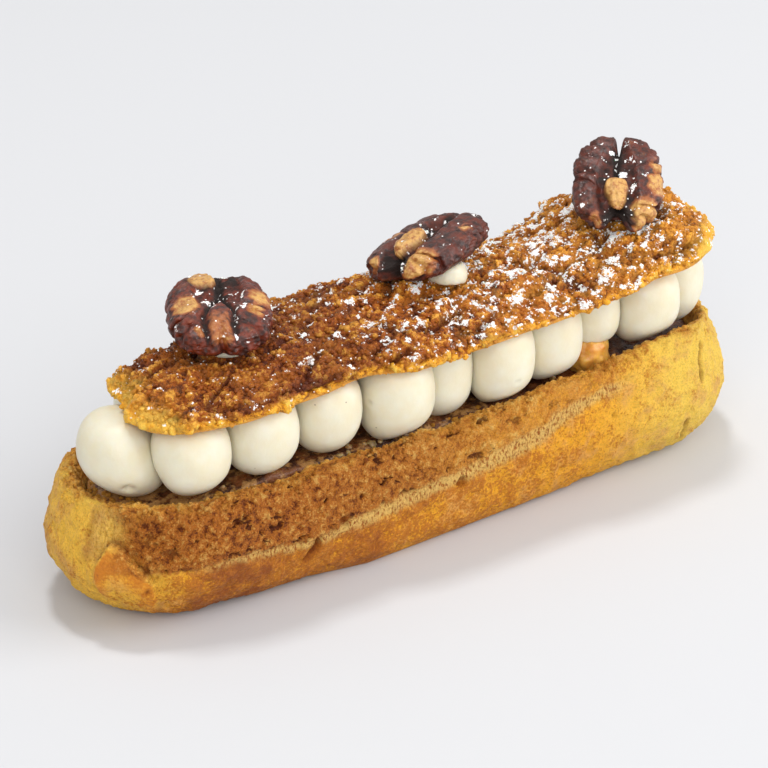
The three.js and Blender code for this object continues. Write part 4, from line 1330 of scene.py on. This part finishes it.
class ECLAIR_OT_stage(bpy.types.Operator):
    """Lays the pale table, hangs the soft lights and sets the camera"""

    bl_idname = "eclair.stage"
    bl_label = "Stage"

    def execute(self, context):
        stage = context.scene.eclair_stage
        scene = context.scene
        shape = bmesh.new()
        bmesh.ops.create_grid(shape, x_segments=8, y_segments=8, size=2.5)
        floor = new_piece("table_top", mesh_from(shape, "table_top"))
        floor.data.materials.append(floor_finish(stage))

        world = bpy.data.worlds.new("soft_studio")
        world.use_nodes = True
        world.node_tree.nodes["Background"].inputs["Color"].default_value = srgb(255, 254, 252)
        world.node_tree.nodes["Background"].inputs["Strength"].default_value = stage.sky
        scene.world = world
        for light in LIGHTS:
            self.hang(scene, *light)

        camera = bpy.data.objects.new("camera", bpy.data.cameras.new("camera"))
        scene.collection.objects.link(camera)
        way = Vector(CAMERA_WAY)
        camera.location = Vector(CAMERA_AIM) * MM + way * stage.distance
        camera.rotation_euler = (-way).to_track_quat("-Z", "Y").to_euler()
        camera.data.lens = stage.lens
        camera.data.sensor_width = 36.0
        camera.data.clip_start = 0.01
        scene.camera = camera
        scene.view_settings.view_transform = "Standard"
        return {"FINISHED"}

    def hang(self, scene, name, place, across, watts):
        """A square soft light that faces the eclair."""
        light = bpy.data.lights.new(name, "AREA")
        light.size = across
        light.energy = watts
        lamp = bpy.data.objects.new(name, light)
        scene.collection.objects.link(lamp)
        lamp.location = place
        lamp.rotation_euler = (Vector((0, 0, 0.02)) - lamp.location).to_track_quat("-Z", "Y").to_euler()


class ECLAIR_OT_base(bpy.types.Operator):
    """Dresses the baked base"""

    bl_idname = "eclair.base"
    bl_label = "Base Crust"

    def execute(self, context):
        crust = context.scene.eclair_crust
        piece = soft_copy("base", "base_crust", levels=2, mesh_size=crust.base_mesh, relax=4)
        shape_base(piece.data)
        run_tree(piece, base_relief, {
            "Crumb Size": crust.slab_crumb_size, "Grain Size": crust.slab_grain_size,
            "Crumb Height": 0.8 * MM,
            "Pore Spacing": crust.pore_spacing, "Pore Depth": 0.9 * MM,
            "Thread Size": crust.thread_size, "Thread Height": 0.5 * MM,
            "Streak Size": crust.streak_size, "Streak Height": 1.8 * MM,
            "Swell Size": 4 * MM, "Swell Height": 1.2 * MM, "Finish": choux_finish(crust),
        })
        hand_over(piece, ["base"])
        return {"FINISHED"}


class ECLAIR_OT_compote(bpy.types.Operator):
    """Fills the base with compote and its soft bits"""

    bl_idname = "eclair.compote"
    bl_label = "Compote"

    def execute(self, context):
        filling = context.scene.eclair_filling
        compote = soft_copy("filling", "compote", levels=1, mesh_size=0.7 * MM, relax=3)
        x = points_of(compote.data)[:, 0] / MM
        # Gel share, high at the left end and lowered towards the right end as painted shade
        put_attribute(compote.data, "gel_and_shade", 0.4 + 0.6 * smooth(-44, -52, x) - smooth(8, 24, x))
        run_tree(compote, wet_surface, {
            "Lump Size": 3 * MM, "Lump Height": 1.6 * MM, "Finish": compote_finish(filling),
        })
        hand_over(compote, ["filling"])

        sown = compote.data.copy()
        _, y, z = points_of(sown).T / MM
        put_attribute(sown, "sown", smooth(17.5, 19, z) * smooth(8, 11, np.abs(y)))
        strew("compote_bits", sown, {
            "Density": 6e4, "Smallest": 1.1 * MM, "Largest": 2.4 * MM, "Flatness": 0.7,
            "Patch Size": 6 * MM, "Patch Least": 0.42, "Seed": 3,
            "Finish": fruit_finish("compote_bit", filling.bit, filling.bit_brown),
        })
        return {"FINISHED"}


class ECLAIR_OT_fruit(bpy.types.Operator):
    """Dresses the cube of fruit in the compote"""

    bl_idname = "eclair.fruit"
    bl_label = "Cube of Fruit"

    def execute(self, context):
        filling = context.scene.eclair_filling
        fruit = soft_copy("fruit", "fruit_cube", levels=1, mesh_size=0.35 * MM, relax=3)
        run_tree(fruit, wet_surface, {
            "Swell": 0.7 * MM, "Lump Size": 1.8 * MM, "Lump Height": 2 * MM,
            "Finish": fruit_finish("soft_fruit", filling.fruit, filling.fruit_deep),
        })
        hand_over(fruit, ["fruit"])
        return {"FINISHED"}


class ECLAIR_OT_cream(bpy.types.Operator):
    """Dresses the piped drops and the dabs under the nuts"""

    bl_idname = "eclair.cream"
    bl_label = "Cream"

    def execute(self, context):
        cream = context.scene.eclair_cream
        inputs = {
            "Swell": cream.swell, "Unevenness": cream.unevenness, "Uneven Size": 6 * MM,
            "Bubble Spacing": 7 * MM, "Bubble Depth": cream.bubble_depth, "Finish": cream_finish(cream),
        }
        for node in CREAM_NODES:
            drop = soft_copy(node, node.replace("cream", "drop"), levels=3)
            if node == "cream_end":
                self.burst(drop.data)
            run_tree(drop, cream_surface, inputs)
            hand_over(drop, [node])
        for node in DAB_NODES:
            dab = soft_copy(node, node.replace("dab", "cream_dab"), levels=1, mesh_size=0.3 * MM, relax=6)
            swell = 0.3 * MM if node == "dab_1" else 0.0
            run_tree(dab, cream_surface, {**inputs, "Swell": swell})
            hand_over(dab, [node])
        return {"FINISHED"}

    def burst(self, mesh):
        """Sinks the large burst bubble low on the end drop."""
        spot = points_of(mesh) / MM
        depth = 1.6 * smooth(1.3, 0.5, np.linalg.norm(spot - BURST_BUBBLE, axis=1))
        put_points(mesh, (spot - normals_of(mesh) * depth[:, None]) * MM)


class ECLAIR_OT_lid(bpy.types.Operator):
    """Dresses the crackled lid"""

    bl_idname = "eclair.lid"
    bl_label = "Lid Crust"

    def execute(self, context):
        crust = context.scene.eclair_crust
        piece = soft_copy("lid", "lid_crust", levels=2, mesh_size=crust.lid_mesh, relax=3)
        mark_lid(piece.data)
        run_tree(piece, lid_relief, {
            "Plate Size": crust.plate_size, "Fissure Depth": crust.fissure_depth,
            "Crumb Size": crust.crumb_size, "Grain Size": crust.grain_size,
            "Crumb Height": crust.crumb_height,
            "Swell Size": 5 * MM, "Swell Height": 1.7 * MM, "Ledge Height": crust.ledge_height,
            "Ragged Edge": 2.2 * MM,
            "Finish": crackle_finish(crust, context.scene.eclair_sugar),
        })
        hand_over(piece, ["lid"])
        return {"FINISHED"}


class ECLAIR_OT_nuts(bpy.types.Operator):
    """Shapes the three pecan halves"""

    bl_idname = "eclair.nuts"
    bl_label = "Pecan Halves"

    def execute(self, context):
        nut = context.scene.eclair_nut
        finish = nut_finish(nut, context.scene.eclair_sugar)
        for number, turns in enumerate(NUTS, start=1):
            node = f"pecan_{number}"
            rotation, middle, half = frame_of_nut(node, turns)
            shape = bmesh.new()
            bmesh.ops.create_icosphere(shape, subdivisions=nut.detail, radius=1.0)
            mesh = mesh_from(shape, f"nut_{number}")
            form, marks = nut_form(points_of(mesh), turns)
            low, high = form.min(0), form.max(0)
            fitted = (form - (low + high) / 2) / ((high - low) / 2) * half
            put_points(mesh, (fitted + middle) @ rotation.T)
            for label, values in marks.items():
                put_attribute(mesh, label, values)
            put_attribute(mesh, "dark", np.full(len(form), turns["dark"]))
            mesh.shade_smooth()
            mesh.materials.append(finish)
            hand_over(new_piece(f"nut_{number}", mesh), [node])
        return {"FINISHED"}


class ECLAIR_OT_crumbs(bpy.types.Operator):
    """Strews loose crumbs over the lid, along the base's slab and rim, and along the compote's edge"""

    bl_idname = "eclair.crumbs"
    bl_label = "Crumbs"

    def execute(self, context):
        lid = bpy.data.objects["lid_crust"].data.copy()
        base = bpy.data.objects["base_crust"].data.copy()
        compote = bpy.data.objects["compote"].data.copy()
        baked = base.materials[0]

        spot, normal = points_of(lid) / MM, normals_of(lid)
        put_attribute(lid, "sown", smooth(-0.3, 0.1, normal[:, 2]) * (1 - 0.8 * smooth(52, 60, spot[:, 0])))
        strew("lid_crumbs", lid, {
            "Density": 9e5, "Smallest": 0.5 * MM, "Largest": 1.25 * MM, "Flatness": 0.8,
            "Patch Size": 5 * MM, "Patch Least": 0.3, "Seed": 11, "Finish": lid.materials[0],
        })

        spot, normal = points_of(base) / MM, normals_of(base)
        rim = smooth(20, 21.5, spot[:, 2]) * smooth(0.1, 0.6, normal[:, 2])
        put_attribute(base, "sown", np.maximum(0.6 * attribute_of(base, "slab"), rim))
        strew("base_crumbs", base, {
            "Density": 6e5, "Smallest": 0.4 * MM, "Largest": 1.1 * MM, "Flatness": 0.75,
            "Patch Size": 4 * MM, "Patch Least": 0.42, "Seed": 21, "Finish": baked,
        })

        spot, normal = points_of(compote) / MM, normals_of(compote)
        spine = np.clip(spot[:, 0], -SPINE_END, SPINE_END)
        reach = np.hypot(spot[:, 0] - spine, spot[:, 1])
        edge = reach.max()
        by_wall = smooth(edge - 2.6, edge - 1.2, reach)
        left_end = smooth(edge - 6, edge - 4, reach) * smooth(-54, -58, spot[:, 0])
        put_attribute(compote, "sown", np.maximum(0.3 * by_wall, left_end) * smooth(0.2, 0.6, normal[:, 2]))
        put_attribute(compote, "cut", np.ones(len(spot)))
        strew("wall_crumbs", compote, {
            "Density": 1.1e6, "Smallest": 0.7 * MM, "Largest": 1.8 * MM, "Flatness": 0.85,
            "Patch Size": 5 * MM, "Patch Least": 0.4, "Seed": 27, "Finish": baked,
        })
        return {"FINISHED"}


class ECLAIR_OT_sugar(bpy.types.Operator):
    """Dusts the lid and the nuts with powdered sugar"""

    bl_idname = "eclair.sugar"
    bl_label = "Powdered Sugar"

    def execute(self, context):
        sugar = context.scene.eclair_sugar
        values = {
            "Density": 6e6, "Smallest": sugar.grain_small, "Largest": sugar.grain_large, "Flatness": 0.6,
            "Patch Size": sugar.patch_size, "Patch Least": sugar.patch_least, "Seed": 31,
            "Finish": sugar_finish(sugar),
        }
        nuts = [f"nut_{number}" for number in range(1, len(NUTS) + 1)]
        for source in ["lid_crust", *nuts]:
            mesh = bpy.data.objects[source].data.copy()
            facing_up = smooth(0.2, 0.7, normals_of(mesh)[:, 2])
            put_attribute(mesh, "sown", attribute_of(mesh, "dusted") * facing_up)
            strew("sugar_on_" + source, mesh, values)
        return {"FINISHED"}


OPERATORS = (
    ECLAIR_OT_stage, ECLAIR_OT_base, ECLAIR_OT_compote, ECLAIR_OT_fruit, ECLAIR_OT_cream,
    ECLAIR_OT_lid, ECLAIR_OT_nuts, ECLAIR_OT_crumbs, ECLAIR_OT_sugar,
)
SETTINGS = {
    "eclair_crust": ECLAIR_PG_crust,
    "eclair_cream": ECLAIR_PG_cream,
    "eclair_filling": ECLAIR_PG_filling,
    "eclair_nut": ECLAIR_PG_nut,
    "eclair_sugar": ECLAIR_PG_sugar,
    "eclair_stage": ECLAIR_PG_stage,
}


class ECLAIR_PT_sidebar(bpy.types.Panel):
    """Lists the steps that dress the eclair, and what they can be told"""

    bl_label = "Filled Eclair"
    bl_idname = "ECLAIR_PT_sidebar"
    bl_space_type = "VIEW_3D"
    bl_region_type = "UI"
    bl_category = "Eclair"

    def draw(self, context):
        for operator in OPERATORS:
            self.layout.operator(operator.bl_idname)
        for label, group in SETTINGS.items():
            box = self.layout.box()
            box.label(text=group.__doc__)
            for field in group.__annotations__:
                box.prop(getattr(context.scene, label), field)


def register():
    for group in (*SETTINGS.values(), *OPERATORS, ECLAIR_PT_sidebar):
        bpy.utils.register_class(group)
    for label, group in SETTINGS.items():
        setattr(bpy.types.Scene, label, PointerProperty(type=group))


def unregister():
    for label in SETTINGS:
        delattr(bpy.types.Scene, label)
    for group in reversed((*SETTINGS.values(), *OPERATORS, ECLAIR_PT_sidebar)):
        bpy.utils.unregister_class(group)


def main():
    register()
    for operator in OPERATORS:
        family, step = operator.bl_idname.split(".")
        getattr(getattr(bpy.ops, family), step)()


if __name__ == "__main__":
    main()
